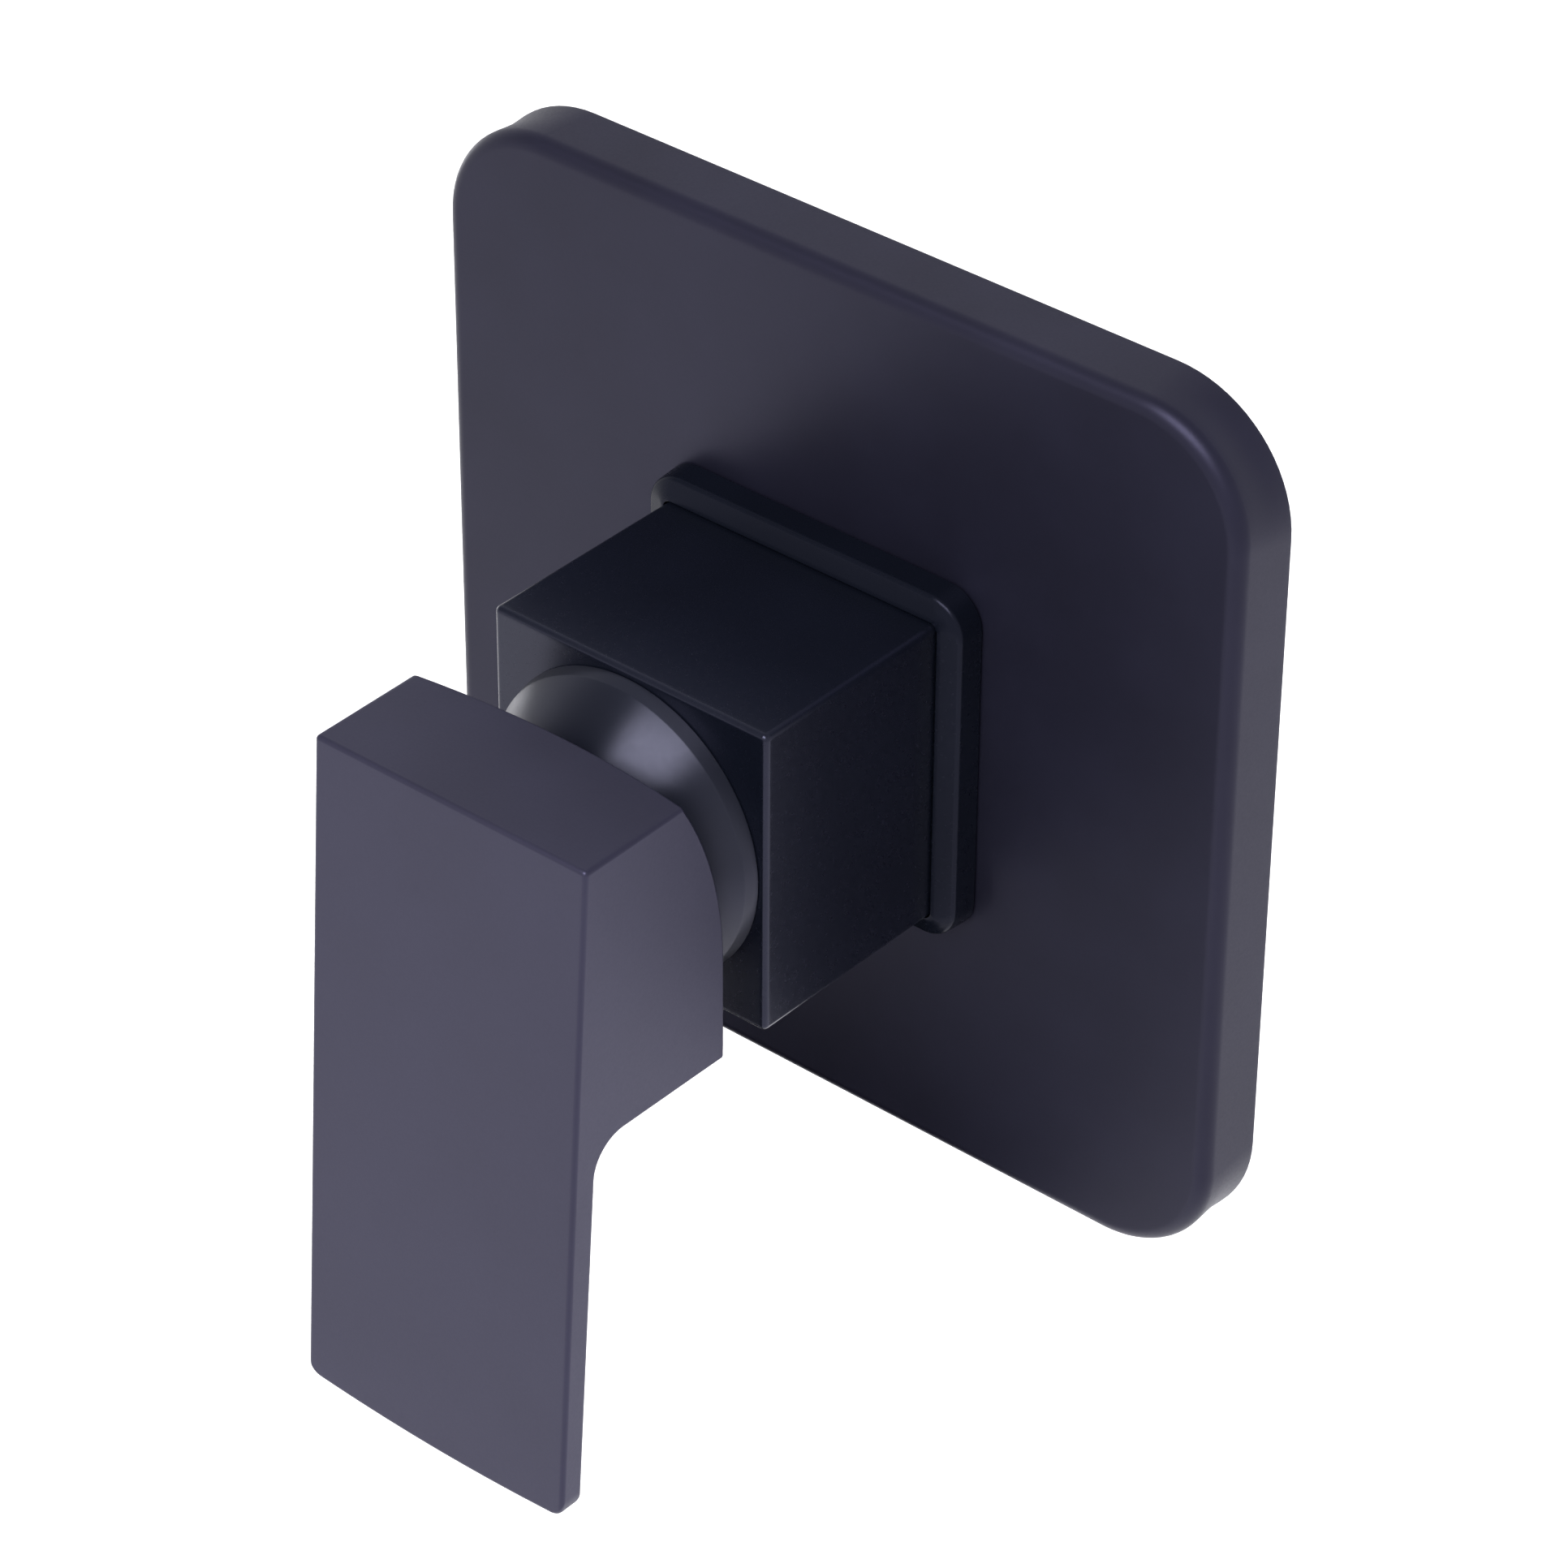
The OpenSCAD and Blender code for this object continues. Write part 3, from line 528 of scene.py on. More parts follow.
def machined(x, up, out):
    """Whether a point of the body lies on a turned or drilled surface."""
    along, across = max(abs(x), abs(up)), min(abs(x), abs(up))
    if along > PORT_AT - 0.9 or math.hypot(across, out - BRANCH_OUT) < 11.6 and along > 5.0:
        return True
    if out > 4.6:
        return True
    lug = LUG_AT * math.sqrt(0.5)
    return math.hypot(abs(x) - lug, abs(up) - lug) < 2.8


def cast_body(voxel):
    """The brass body: rough-cast outside with soft joins, and crisp turned faces and bores."""
    piece = new_piece("cast_body", cast_form, 0.0)
    melt = piece.modifiers.new("melt", "REMESH")
    melt.mode, melt.voxel_size = "VOXEL", voxel
    calm = piece.modifiers.new("calm", "SMOOTH")
    calm.factor, calm.iterations = 0.5, 12
    settle(piece)
    neck = [(NECK_R, 1.0), (NECK_R, NECK_OUT - 0.8), (NECK_R - 0.8, NECK_OUT)]
    combine(piece, [tool("neck", place, neck, 160)], "UNION")
    combine(piece, body_tools())
    soften(piece, 34.0)
    piece.data.materials.clear()
    for name in ("cast_brass", "turned_brass"):
        piece.data.materials.append(bpy.data.materials[name])
    for face in piece.data.polygons:
        x, y, z = face.center / MM
        face.material_index = 1 if machined(x, z, -y) else 0
    return piece


# Handle


class HandleShape:
    """Sizes of the handle in millimetres, and the outline of any slice across its width."""

    def __init__(self, sizes):
        self.half = sizes.handle_width / 2 / MM
        self.top = sizes.handle_top / MM
        self.tip = -sizes.handle_tip / MM
        self.under = -24.9
        self.lean = math.tan(sizes.handle_lean)
        self.front_top = sizes.handle_front / MM
        self.crown, self.shoulder, self.shoulder_up = 174.0, 60.0, -8.0
        self.back_mid = 60.2
        self.fillet = 6.0
        self.tip_crown, self.tip_corner = sizes.tip_crown / MM, sizes.tip_corner / MM
        slant = 1 / math.cos(sizes.handle_lean)
        self.root_back = self.front(self.under) - 4.6 * slant
        tip_back = self.front(self.tip) - 4.3 * slant
        self.back_slope = (tip_back - self.root_back) / (self.under - self.tip)

    def front(self, up):
        return self.front_top + (self.top - up) * self.lean

    def lever_back(self, up):
        return self.root_back + (self.under - up) * self.back_slope

    def block_back(self, x, up):
        rise = max(up - self.shoulder_up, 0.0)
        reach = self.crown - self.shoulder + math.sqrt(self.shoulder ** 2 - rise ** 2)
        return self.back_mid + self.crown - math.sqrt(reach ** 2 - x ** 2)

    def tip_up(self, x):
        """Height of the tip's edge: a shallow curve that turns into a round corner."""
        crown_up = self.tip + self.tip_crown
        corner_x = self.half - self.tip_corner
        corner_up = crown_up - math.sqrt((self.tip_crown - self.tip_corner) ** 2 - corner_x ** 2)
        touch = corner_x * self.tip_crown / (self.tip_crown - self.tip_corner)
        if abs(x) <= touch:
            return crown_up - math.sqrt(self.tip_crown ** 2 - x ** 2)
        over = min(abs(x) - corner_x, self.tip_corner)
        return corner_up - math.sqrt(self.tip_corner ** 2 - over ** 2)

    def slice(self, x):
        """Loop of (out, up, edge radius) round the slice at x, always with as many points."""
        tip = self.tip_up(x)
        soft, fine = SOFT_EDGE, 0.4
        top_back = (self.block_back(x, self.top), self.top)
        low_back = (self.block_back(x, self.under), self.under)
        top_front = (self.front(self.top), self.top)
        tip_front = (self.front(tip), tip)
        tip_back = (self.lever_back(tip), tip)
        bend = math.atan(self.back_slope)
        fillet_up = self.under - self.fillet
        fillet_out = self.root_back + self.fillet * math.tan(bend) - self.fillet / math.cos(bend)
        near_top = (self.block_back(x, self.top - 0.6), self.top - 0.6)
        loop = []
        loop += rounded(near_top, top_back, top_front, fine, 5)
        loop += rounded(top_back, top_front, tip_front, soft, 7)
        loop += between(loop[-1], rounded(top_front, tip_front, tip_back, soft, 6)[0], 16)
        loop += rounded(top_front, tip_front, tip_back, soft, 6)
        loop += rounded(tip_front, tip_back, (self.lever_back(tip + 5), tip + 5), soft, 6)
        turn = [(out, up, soft) for out, up in arc(self.fillet, bend, QUARTER, 12,
                                                   (fillet_out, fillet_up))]
        loop += between(loop[-1], turn[0], 10)
        loop += turn
        corner = rounded((fillet_out, self.under), low_back, (low_back[0], self.under + 4), 0.5, 6)
        loop += between(loop[-1], corner[0], 8)
        loop += corner
        start = loop[-1][1]
        stop = loop[0][1]
        for i in range(1, 24):
            up = start + (stop - start) * i / 24
            loop.append((self.block_back(x, up), up, fine))
        return loop


def rounded(before, corner, after, radius, steps):
    """Arc that rounds a corner between two directions, with its radius on each point."""
    c, a, b = Vector(corner), Vector(before) - Vector(corner), Vector(after) - Vector(corner)
    a.normalize()
    b.normalize()
    half = a.angle(b) / 2
    centre = c + (a + b).normalized() * radius / math.sin(half)
    start = c + a * radius / math.tan(half) - centre
    end = c + b * radius / math.tan(half) - centre
    first, last = math.atan2(start.y, start.x), math.atan2(end.y, end.x)
    sweep = (last - first + math.pi) % (2 * math.pi) - math.pi
    return [(centre.x + radius * math.cos(first + sweep * i / steps),
             centre.y + radius * math.sin(first + sweep * i / steps), radius)
            for i in range(steps + 1)]


def between(start, end, count):
    """Points spaced evenly between two points, without them."""
    return [tuple(a + (b - a) * i / (count + 1) for a, b in zip(start, end))
            for i in range(1, count + 1)]


def pulled_in(loop, share):
    """The loop moved inwards by a share of each point's edge radius."""
    moved = []
    count = len(loop)
    for i, (out, up, radius) in enumerate(loop):
        a, b = loop[i - 1], loop[(i + 1) % count]
        along = Vector((b[0] - a[0], b[1] - a[1])).normalized()
        depth = radius * share
        moved.append((out + along.y * depth, up - along.x * depth, radius))
    return moved


def handle_rings(sizes):
    """Rings across the handle's width, with rounded side edges and flat sides."""
    shape = HandleShape(sizes)
    inner = shape.half - SOFT_EDGE
    corner_x = shape.half - shape.tip_corner
    across = [corner_x * i / 18 for i in range(19)]
    across += [corner_x + (inner - corner_x) * i / 6 for i in range(1, 7)]
    right = [(x, shape.slice(x)) for x in across]
    edge_steps = 7
    for i in range(1, edge_steps + 1):
        angle = QUARTER * i / edge_steps
        x = inner + SOFT_EDGE * math.sin(angle)
        right.append((x, pulled_in(shape.slice(x), 1 - math.cos(angle))))
    order = [(-x, loop) for x, loop in reversed(right[1:])] + right
    return [[place(x, up, out) for out, up, _ in loop] for x, loop in order]


def cutter(name, maker):
    """A mesh object used only to cut another, made from a bmesh."""
    return new_piece(name, maker, 0.0)


def stem_frame():
    """Turns millimetres along the closed stem, from the pivot, into the row frame."""
    turn = Matrix.Rotation(REST_TILT, 4, "X")

    def put(x, up, along):
        spot = turn @ Vector((x, up, along))
        return place(spot.x, spot.y, spot.z + PIVOT_OUT)

    return put


def handle_cutters(sizes):
    """The dome's hollow, the pocket round the hub, the square socket and the screw's hole."""
    at_stem = stem_frame()
    recess = dome_radius(sizes) + 0.5

    def ball(bm):
        bmesh.ops.create_uvsphere(bm, u_segments=128, v_segments=72, radius=recess * MM)
        bmesh.ops.rotate(bm, verts=bm.verts, matrix=Matrix.Rotation(QUARTER, 3, "X"))
        bmesh.ops.translate(bm, verts=bm.verts, vec=place(0, 0, PIVOT_OUT))

    def pocket(bm):
        loop = [(7.5, 23.0), (12.5, 23.0), (12.5, 41.0), (11.5, 42.0), (8.5, 42.0), (7.5, 41.0)]
        rings = []
        for r, along in loop:
            rings.append([at_stem(r * math.cos(math.pi * i / 48), r * math.sin(math.pi * i / 48),
                                  along) for i in range(96)])
        skin_rings(bm, rings, closed=True)

    def socket(bm):
        side = 3.55
        rings = [[at_stem(x, u, along) for x, u in ((side, side), (-side, side), (-side, -side),
                                                    (side, -side))] for along in (23.0, 42.5)]
        skin_rings(bm, rings, capped=True)

    def screw_hole(bm):
        rings = []
        for r, down in ((2.5, 0.0), (2.5, 14.2), (3.15, 14.2), (3.15, 21.0)):
            rings.append([at_stem(r * math.cos(math.pi * i / 32), -down,
                                  33.0 + r * math.sin(math.pi * i / 32)) for i in range(64)])
        skin_rings(bm, rings, capped=True)

    return [cutter("cut_" + maker.__name__, maker) for maker in (ball, pocket, socket, screw_hole)]


# Materials


def node(tree, kind, values=None, **settings):
    """A new shader node with its settings and the defaults of some inputs."""
    made = tree.nodes.new(kind)
    for key, value in settings.items():
        setattr(made, key, value)
    for key, value in (values or {}).items():
        made.inputs[key].default_value = value
    return made


def blank_material(name):
    """A material with a Principled shader wired to its output, and Object coordinates."""
    material = bpy.data.materials.new(name)
    material.use_nodes = True
    tree = material.node_tree
    tree.nodes.clear()
    output = node(tree, "ShaderNodeOutputMaterial")
    shader = node(tree, "ShaderNodeBsdfPrincipled")
    where = node(tree, "ShaderNodeTexCoord")
    tree.links.new(shader.outputs["BSDF"], output.inputs["Surface"])
    return material, tree, shader, where.outputs["Object"]


def noise(tree, where, per_metre, detail=3.0, rough=0.5):
    """A noise pattern at a scale counted per metre."""
    made = node(tree, "ShaderNodeTexNoise", {"Scale": per_metre, "Detail": detail,
                                             "Roughness": rough})
    tree.links.new(where, made.inputs["Vector"])
    return made.outputs["Fac"]


def spread(tree, value, low, high, out_low, out_high):
    """Maps a value's range to another range."""
    made = node(tree, "ShaderNodeMapRange", {"From Min": low, "From Max": high,
                                             "To Min": out_low, "To Max": out_high})
    tree.links.new(value, made.inputs["Value"])
    return made.outputs["Result"]


def tint(tree, value, first, second):
    """Blends two colours by a value."""
    made = node(tree, "ShaderNodeMix", data_type="RGBA")
    made.inputs[6].default_value = (*first, 1)
    made.inputs[7].default_value = (*second, 1)
    tree.links.new(value, made.inputs[0])
    return made.outputs[2]


def relief(tree, heights, shader):
    """Stacks bumps of (height value, strength, depth in metres) on a shader's normal."""
    last = None
    for height, strength, depth in heights:
        made = node(tree, "ShaderNodeBump", {"Strength": strength, "Distance": depth})
        tree.links.new(height, made.inputs["Height"])
        if last is not None:
            tree.links.new(last, made.inputs["Normal"])
        last = made.outputs["Normal"]
    tree.links.new(last, shader.inputs["Normal"])


def black_coat(name, dark, lift, clouds, grain, rough, wander, sheen, gloss):
    """A black coat: cloudy colour, a grain in its roughness, and a tinted sheen."""
    material, tree, shader, where = blank_material(name)
    cloud = noise(tree, where, clouds, 2.0)
    grain = noise(tree, where, *grain)
    light = tuple(c * lift for c in dark)
    tree.links.new(tint(tree, spread(tree, cloud, 0.3, 0.7, 0, 1), dark, light),
                   shader.inputs["Base Color"])
    tree.links.new(spread(tree, grain, 0.3, 0.7, rough - wander, rough + wander),
                   shader.inputs["Roughness"])
    shader.inputs["Specular Tint"].default_value = (*sheen, 1)
    shader.inputs["Specular IOR Level"].default_value = gloss
    return material, tree, shader, where, grain


def powder_coat(name, finish, gloss):
    """Matte black powder coat: fine orange peel, a violet cast and a soft sheen."""
    material, tree, shader, where, grain = black_coat(
        name, finish.powder_colour, 1.35, 60, (2600, 2.0), finish.powder_roughness, 0.03,
        finish.powder_sheen, gloss)
    relief(tree, [(noise(tree, where, 700, 1.0), 0.10, 0.00006), (grain, 0.12, 0.00002)], shader)
    return material


def satin_coat(name, finish, gloss, turned_marks=False):
    """Smoother black coat with a cool sheen; turned marks run in rings round the axis."""
    rough, sheen = finish.satin_roughness, finish.satin_sheen
    if turned_marks:
        rough, sheen = finish.dome_roughness, finish.dome_sheen
    material, tree, shader, where, grain = black_coat(
        name, finish.satin_colour, 1.3, 45, (1400, 1.0), rough, 0.015, sheen, gloss)
    if turned_marks:
        shader.inputs["Anisotropic"].default_value = finish.dome_turning
        shader.inputs["Anisotropic Rotation"].default_value = 0.25
        around = node(tree, "ShaderNodeTangent", direction_type="RADIAL", axis="Y")
        tree.links.new(around.outputs["Tangent"], shader.inputs["Tangent"])
    return material


def metal_material(name, colour, rough, cast):
    """Plain metal: cast gives a sandy skin, otherwise a fine turned finish."""
    material, tree, shader, where = blank_material(name)
    cloud = noise(tree, where, 90, 4.0, 0.6)
    fine = noise(tree, where, 1500 if cast else 4000, 3.0)
    deep = tuple(c * 0.72 for c in colour)
    tree.links.new(tint(tree, spread(tree, cloud, 0.35, 0.7, 0, 1), colour, deep),
                   shader.inputs["Base Color"])
    shader.inputs["Metallic"].default_value = 1.0
    tree.links.new(spread(tree, fine, 0.3, 0.7, rough - 0.07, rough + 0.07),
                   shader.inputs["Roughness"])
    strength = 0.45 if cast else 0.08
    relief(tree, [(cloud, strength * 0.6, 0.0003), (fine, strength, 0.00008)], shader)
    return material


def plain_material(name, colour, rough, grain_scale=1800.0, depth=0.00003):
    """Moulded plastic, rubber or ceramic with a faint grain."""
    material, tree, shader, where = blank_material(name)
    cloud = noise(tree, where, 120, 3.0)
    fine = noise(tree, where, grain_scale, 2.0)
    deep = tuple(c * 0.86 for c in colour)
    tree.links.new(tint(tree, cloud, colour, deep), shader.inputs["Base Color"])
    tree.links.new(spread(tree, fine, 0.3, 0.7, rough - 0.05, rough + 0.05),
                   shader.inputs["Roughness"])
    relief(tree, [(fine, 0.25, depth)], shader)
    return material


def all_materials(finish):
    """Every finish by name, made once."""
    if "powder_coat_on_plate" not in bpy.data.materials:
        # The plate's copy of the powder coat has a weaker sheen than the handle's: painted shade
        # that makes the plate read darker.
        powder_coat("powder_coat_on_plate", finish, finish.plate_gloss)
        powder_coat("powder_coat_on_handle", finish, finish.handle_gloss)
        satin_coat("satin_coat", finish, finish.satin_gloss)
        satin_coat("satin_coat_on_collar", finish, finish.collar_gloss)
        satin_coat("turned_satin_coat", finish, finish.dome_gloss, True)
        plain_material("black_foam", (0.022, 0.022, 0.024), 0.85, 900.0, 0.0002)
        metal_material("cast_brass", (0.62, 0.43, 0.19), 0.42, True)
        metal_material("turned_brass", (0.72, 0.52, 0.24), 0.26, False)
        metal_material("plain_steel", (0.58, 0.58, 0.6), 0.28, False)
        plain_material("black_rubber", (0.018, 0.018, 0.019), 0.62)
        plain_material("black_plastic", (0.02, 0.02, 0.022), 0.5)
        plain_material("white_nylon", (0.76, 0.75, 0.7), 0.42)
        plain_material("red_nylon", (0.5, 0.03, 0.025), 0.42)
        plain_material("white_ceramic", (0.83, 0.8, 0.74), 0.12, 3000.0, 0.000005)
    return bpy.data.materials


NODE_FINISH = {
    "black_rubber": ("collar_seal", "sleeve_o_ring", "outlet_plug_seal", "base_seals"),
    "black_plastic": ("screw_plug",),
    "plain_steel": ("grub_screw", "pivot_pin", "lever_stem"),
    "turned_brass": ("outlet_plug", "retaining_nut"),
    "white_nylon": ("cartridge_housing", "cartridge_base", "disc_carrier", "lever_turret"),
    "red_nylon": ("hot_limit_ring",),
    "white_ceramic": ("fixed_ceramic_disc", "moving_ceramic_disc"),
}


def finish_piece(piece, material, body, replaced):
    """Gives a piece its material, hangs it on the body it rides on, and hides the parts it
    replaces.
    """
    if material:
        piece.data.materials.clear()
        piece.data.materials.append(bpy.data.materials[material])
    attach(piece, body)
    if replaced:
        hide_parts(*replaced)


# Settings


def length(name, description, default, low=0.0, high=1.0):
    """A length property in metres."""
    return FloatProperty(name=name, description=description, default=default, min=low, max=high,
                         unit="LENGTH", subtype="DISTANCE", precision=5)


def colour(name, description, default):
    """A colour property."""
    return FloatVectorProperty(name=name, description=description, default=default, min=0, max=1,
                               subtype="COLOR")


def fraction(name, description, default):
    """A property between nothing and all."""
    return FloatProperty(name=name, description=description, default=default, min=0, max=1,
                         subtype="FACTOR")


def angle(name, description, degrees):
    """An angle property, given in degrees."""
    return FloatProperty(name=name, description=description, default=math.radians(degrees),
                         unit="ROTATION", subtype="ANGLE")


def number(name, description, default, high=200.0):
    """A plain number that isn't negative."""
    return FloatProperty(name=name, description=description, default=default, min=0, max=high)


class MixerSizes(bpy.types.PropertyGroup):
    """Sizes of the visible pieces."""

    plate_width: length("Plate width", "Width of the wall plate", 0.1473)
    plate_height: length("Plate height", "Height of the wall plate", 0.145)
    plate_stand: length("Plate stand", "How far the plate stands off the wall", 0.0112)
    plate_edge: length("Plate edge", "Radius of the pressed front edge", 0.0024)
    plate_corner_back: length("Corner at the wall", "Corner radius at the wall", 0.0205)
    plate_corner_front: length("Corner at the face", "Corner radius at the face", 0.0186)
    plate_corner_dip: length("Corner hollow", "How far the pressed corners are hollow", 0.0003)
    collar_width: length("Collar width", "Width of the square collar", 0.0592)
    collar_ridge: length("Collar ridge", "Distance of the collar's ridge from the wall", 0.0158)
    collar_front: length("Collar front", "Distance of its front from the wall", 0.017)
    collar_edge: length("Collar edge", "Radius of the collar's ridge", 0.0009)
    collar_corner: length("Collar corner", "Corner radius of the collar", 0.006)
    sleeve_width: length("Sleeve width", "Side of the square sleeve", 0.0508)
    sleeve_edge: length("Sleeve edge", "Radius of the sleeve's long edges", 0.001)
    sleeve_front_edge: length("Sleeve front edge", "Radius of the front edge", 0.0009)
    cap_radius: length("Cap radius", "Radius of the domed cap's rim, on the sleeve", 0.0242)
    cap_rim: length("Cap rim", "Height of the rim in front of the sleeve", 0.0024)
    cap_taper: length("Cap taper", "Taper of the rim from the sleeve to the dome", 0.0005)
    cap_edge: length("Cap edge", "Radius between the rim and the dome", 0.0007)
    handle_width: length("Handle width", "Width of the handle", 0.0504)
    handle_top: length("Handle top", "Height of the handle above the axis", 0.0224)
    handle_tip: length("Handle tip", "Depth of the lever's tip below the axis", 0.0886)
    handle_front: length("Handle front", "Distance of the top front edge from the wall", 0.0903)
    handle_lean: angle("Handle lean", "Lean of the handle's front", 3.85)
    tip_crown: length("Tip curve", "Radius of the tip's bottom edge", 0.32)
    tip_corner: length("Tip corner", "Corner radius of the tip", 0.0025)
    strip_width: length("Foam strip width", "Width of the foam strip", 0.005)
    strip_thick: length("Foam strip thickness", "Thickness of the foam strip", 0.005)
    thread_pitch: length("Thread pitch", "Pitch of the pipe threads", 0.001814, 0.0005, 0.005)
    casting_grain: length("Casting detail", "Finest detail of the cast body", 0.0008, 0.0004, 0.003)


class MixerFinish(bpy.types.PropertyGroup):
    """Colour and gloss of the two black coats: powder on plate and handle, satin between."""

    powder_colour: colour("Powder coat", "Colour of the powder coat", (0.006, 0.006, 0.012))
    powder_sheen: colour("Powder sheen", "Cast of the powder coat's sheen", (0.64, 0.61, 1.0))
    # Plate and handle share one powder coat; the plate's weaker sheen is painted shade.
    plate_gloss: fraction("Plate gloss", "Strength of the sheen on the plate", 0.45)
    handle_gloss: fraction("Handle gloss", "Strength of the sheen on the handle", 0.95)
    powder_roughness: fraction("Powder roughness", "Softness of its sheen", 0.42)
    satin_colour: colour("Satin coat", "Colour of the satin coat", (0.0035, 0.0045, 0.0085))
    satin_sheen: colour("Satin sheen", "Cast of the satin coat's sheen", (0.66, 0.66, 1.0))
    dome_sheen: colour("Dome sheen", "Tint of the turned dome's sheen", (0.72, 0.72, 1.0))
    satin_gloss: fraction("Satin gloss", "Strength of the satin coat's sheen", 0.56)
    dome_gloss: fraction("Dome gloss", "Strength of the sheen on the dome", 0.66)
    collar_gloss: fraction("Collar gloss", "Strength of the sheen on the collar", 0.18)
    satin_roughness: fraction("Satin roughness", "Softness of its sheen", 0.26)
    dome_roughness: fraction("Dome roughness", "Softness of the sheen on the dome", 0.36)
    dome_turning: fraction("Dome turning", "How far the dome's sheen is drawn out", 0.8)


class MixerStudio(bpy.types.PropertyGroup):
    """The photograph's viewing angle and the studio's light."""

    azimuth: angle("Azimuth", "Camera's angle to the right", 40.185)
    elevation: angle("Elevation", "Camera's angle above the horizon", 34.888)
    roll: angle("Roll", "Camera's turn about its own axis", 0.389)
    distance: length("Distance", "Camera's distance from the axis", 0.887, 0.1, 10.0)
    aside: length("Aside", "Camera's step to its right", -0.012772, -1.0, 1.0)
    raised: length("Raised", "Camera's step up", -0.018083, -1.0, 1.0)
    lens: FloatProperty(name="Lens", description="Focal length on a 36 mm sensor",
                        default=138.26, min=20, max=400, unit="CAMERA")
    drop: length("Floor", "How far the floor lies below the axis", 1.0, 0.2, 3.0)
    room_low: number("Horizon", "Brightness of the room at the horizon", 1.0)
    room_middle: number("Middle", "Brightness of the room above the horizon", 0.95)
    room_high: number("Ceiling", "Brightness of the room overhead", 0.45)
    shade_turn: angle("Dark side", "Direction of the room's dark side, to the left", -45)
    shade_rise: angle("Dark side height", "Height of the dark side above the horizon", 38)
    shade_spread: angle("Dark side spread", "How far the dark side reaches", 38)
    shade_depth: fraction("Dark side depth", "How dark the dark side is", 0.65)
    key_energy: number("Key lamp", "Power of the soft lamp above the front", 44)
    left_energy: number("Left lamp", "Power of the low soft lamp at the left", 3.2)
    card_drop: length("Card", "How far the dark card lies below the axis", 0.115)
    card_left: length("Card to the left", "Reach of the dark card to the left", 0.082)
    card_right: length("Card to the right", "Reach of the dark card to the right", 0.02)
    card_out: length("Card to the front", "Reach of the dark card from the wall", 0.095, 0.0, 0.5)
    floor_cool: fraction("Floor cast", "Cool cast of the two floor lamps at the sides", 0.15)
    floor_far: number("Far floor", "Light that the far floor sends back", 0.4)
    floor_back: number("Floor behind", "Power of the lamp on the floor behind the left side", 60)
    floor_left: number("Floor in front", "Power of the lamp on the floor before the left side", 6)
    floor_right: number("Floor at the right", "Power of the lamp on the floor behind the right", 26)


# Operators


class MIXER_OT_plate(bpy.types.Operator):
    """Make the pressed wall plate"""

    bl_idname = "mixer.plate"
    bl_label = "Wall plate"

    def execute(self, context):
        rings = wall_plate_rings(context.scene.mixer_sizes)
        all_materials(context.scene.mixer_finish)
        piece = new_piece("plate_shell", lambda bm: skin_rings(bm, rings, closed=True))
        finish_piece(piece, "powder_coat_on_plate", "body", ["wall_plate"])
        return {"FINISHED"}


class MIXER_OT_collar(bpy.types.Operator):
    """Make the square collar on the plate"""

    bl_idname = "mixer.collar"
    bl_label = "Collar"

    def execute(self, context):
        rings = collar_rings(context.scene.mixer_sizes)
        all_materials(context.scene.mixer_finish)
        piece = new_piece("collar_ring", lambda bm: skin_rings(bm, rings, closed=True))
        finish_piece(piece, "satin_coat_on_collar", "body", ["sleeve_collar"])
        return {"FINISHED"}


class MIXER_OT_sleeve(bpy.types.Operator):
    """Make the square sleeve"""

    bl_idname = "mixer.sleeve"
    bl_label = "Sleeve"

    def execute(self, context):
        rings = sleeve_rings(context.scene.mixer_sizes)
        all_materials(context.scene.mixer_finish)
        piece = new_piece("square_sleeve", lambda bm: skin_rings(bm, rings, closed=True))
        finish_piece(piece, "satin_coat", "body", ["sleeve"])
        return {"FINISHED"}


class MIXER_OT_dome(bpy.types.Operator):
    """Make the domed cap"""

    bl_idname = "mixer.dome"
    bl_label = "Domed cap"

    def execute(self, context):
        materials = all_materials(context.scene.mixer_finish)
        loop = dome_profile(context.scene.mixer_sizes)
        path = 10.0
        points = [((r - path) * MM, -out * MM, 0.0) for r, out in loop]
        piece = turned_tree().grow("domed_cap", points, loop_edges(len(points)),
                                   {"Path radius": path * MM, "Steps": 192,
                                    "Finish": materials["turned_satin_coat"]}, FROM_FRONT)
        soften(piece, 24.0)
        finish_piece(piece, "turned_satin_coat", "body", ["dome_cap"])
        return {"FINISHED"}


class MIXER_OT_handle(bpy.types.Operator):
    """Make the lever handle"""

    bl_idname = "mixer.handle"
    bl_label = "Lever handle"

    def execute(self, context):
        sizes = context.scene.mixer_sizes
        rings = handle_rings(sizes)
        all_materials(context.scene.mixer_finish)
        piece = new_piece("lever_handle", lambda bm: skin_rings(bm, rings, capped=True), 0.0)
        combine(piece, handle_cutters(sizes), solver="EXACT")
        soften(piece, 32.0)
        finish_piece(piece, "powder_coat_on_handle", "lever", ["handle"])
        return {"FINISHED"}


class MIXER_OT_strip(bpy.types.Operator):
    """Make the foam strip that seals the plate to the wall"""

    bl_idname = "mixer.strip"
    bl_label = "Foam strip"

    def execute(self, context):
        sizes = context.scene.mixer_sizes
        materials = all_materials(context.scene.mixer_finish)
        wide, thick, soft = sizes.strip_width, sizes.strip_thick, 0.0007
        inset = 0.0022
        section = []
        corners = [(wide - soft, soft, -QUARTER), (wide - soft, thick - soft, 0.0),
                   (soft, thick - soft, QUARTER), (soft, soft, 2 * QUARTER)]
        for cx, out, turn in corners:
            section += arc(soft, turn, turn + QUARTER, 4, (cx, out))
        points = [(x, -out, 0.0) for x, out in section]
        full = (sizes.plate_width - 2 * (inset + wide), sizes.plate_height - 2 * (inset + wide))
        piece = frame_tree().grow("foam_strip", points, loop_edges(len(points)),
                                  {"Width": full[0], "Height": full[1], "Corner": 0.0123,
                                   "Steps": 14, "Finish": materials["black_foam"]}, FROM_FRONT)
        soften(piece, 40.0)
        finish_piece(piece, "black_foam", "body", ["plate_gasket"])
        return {"FINISHED"}


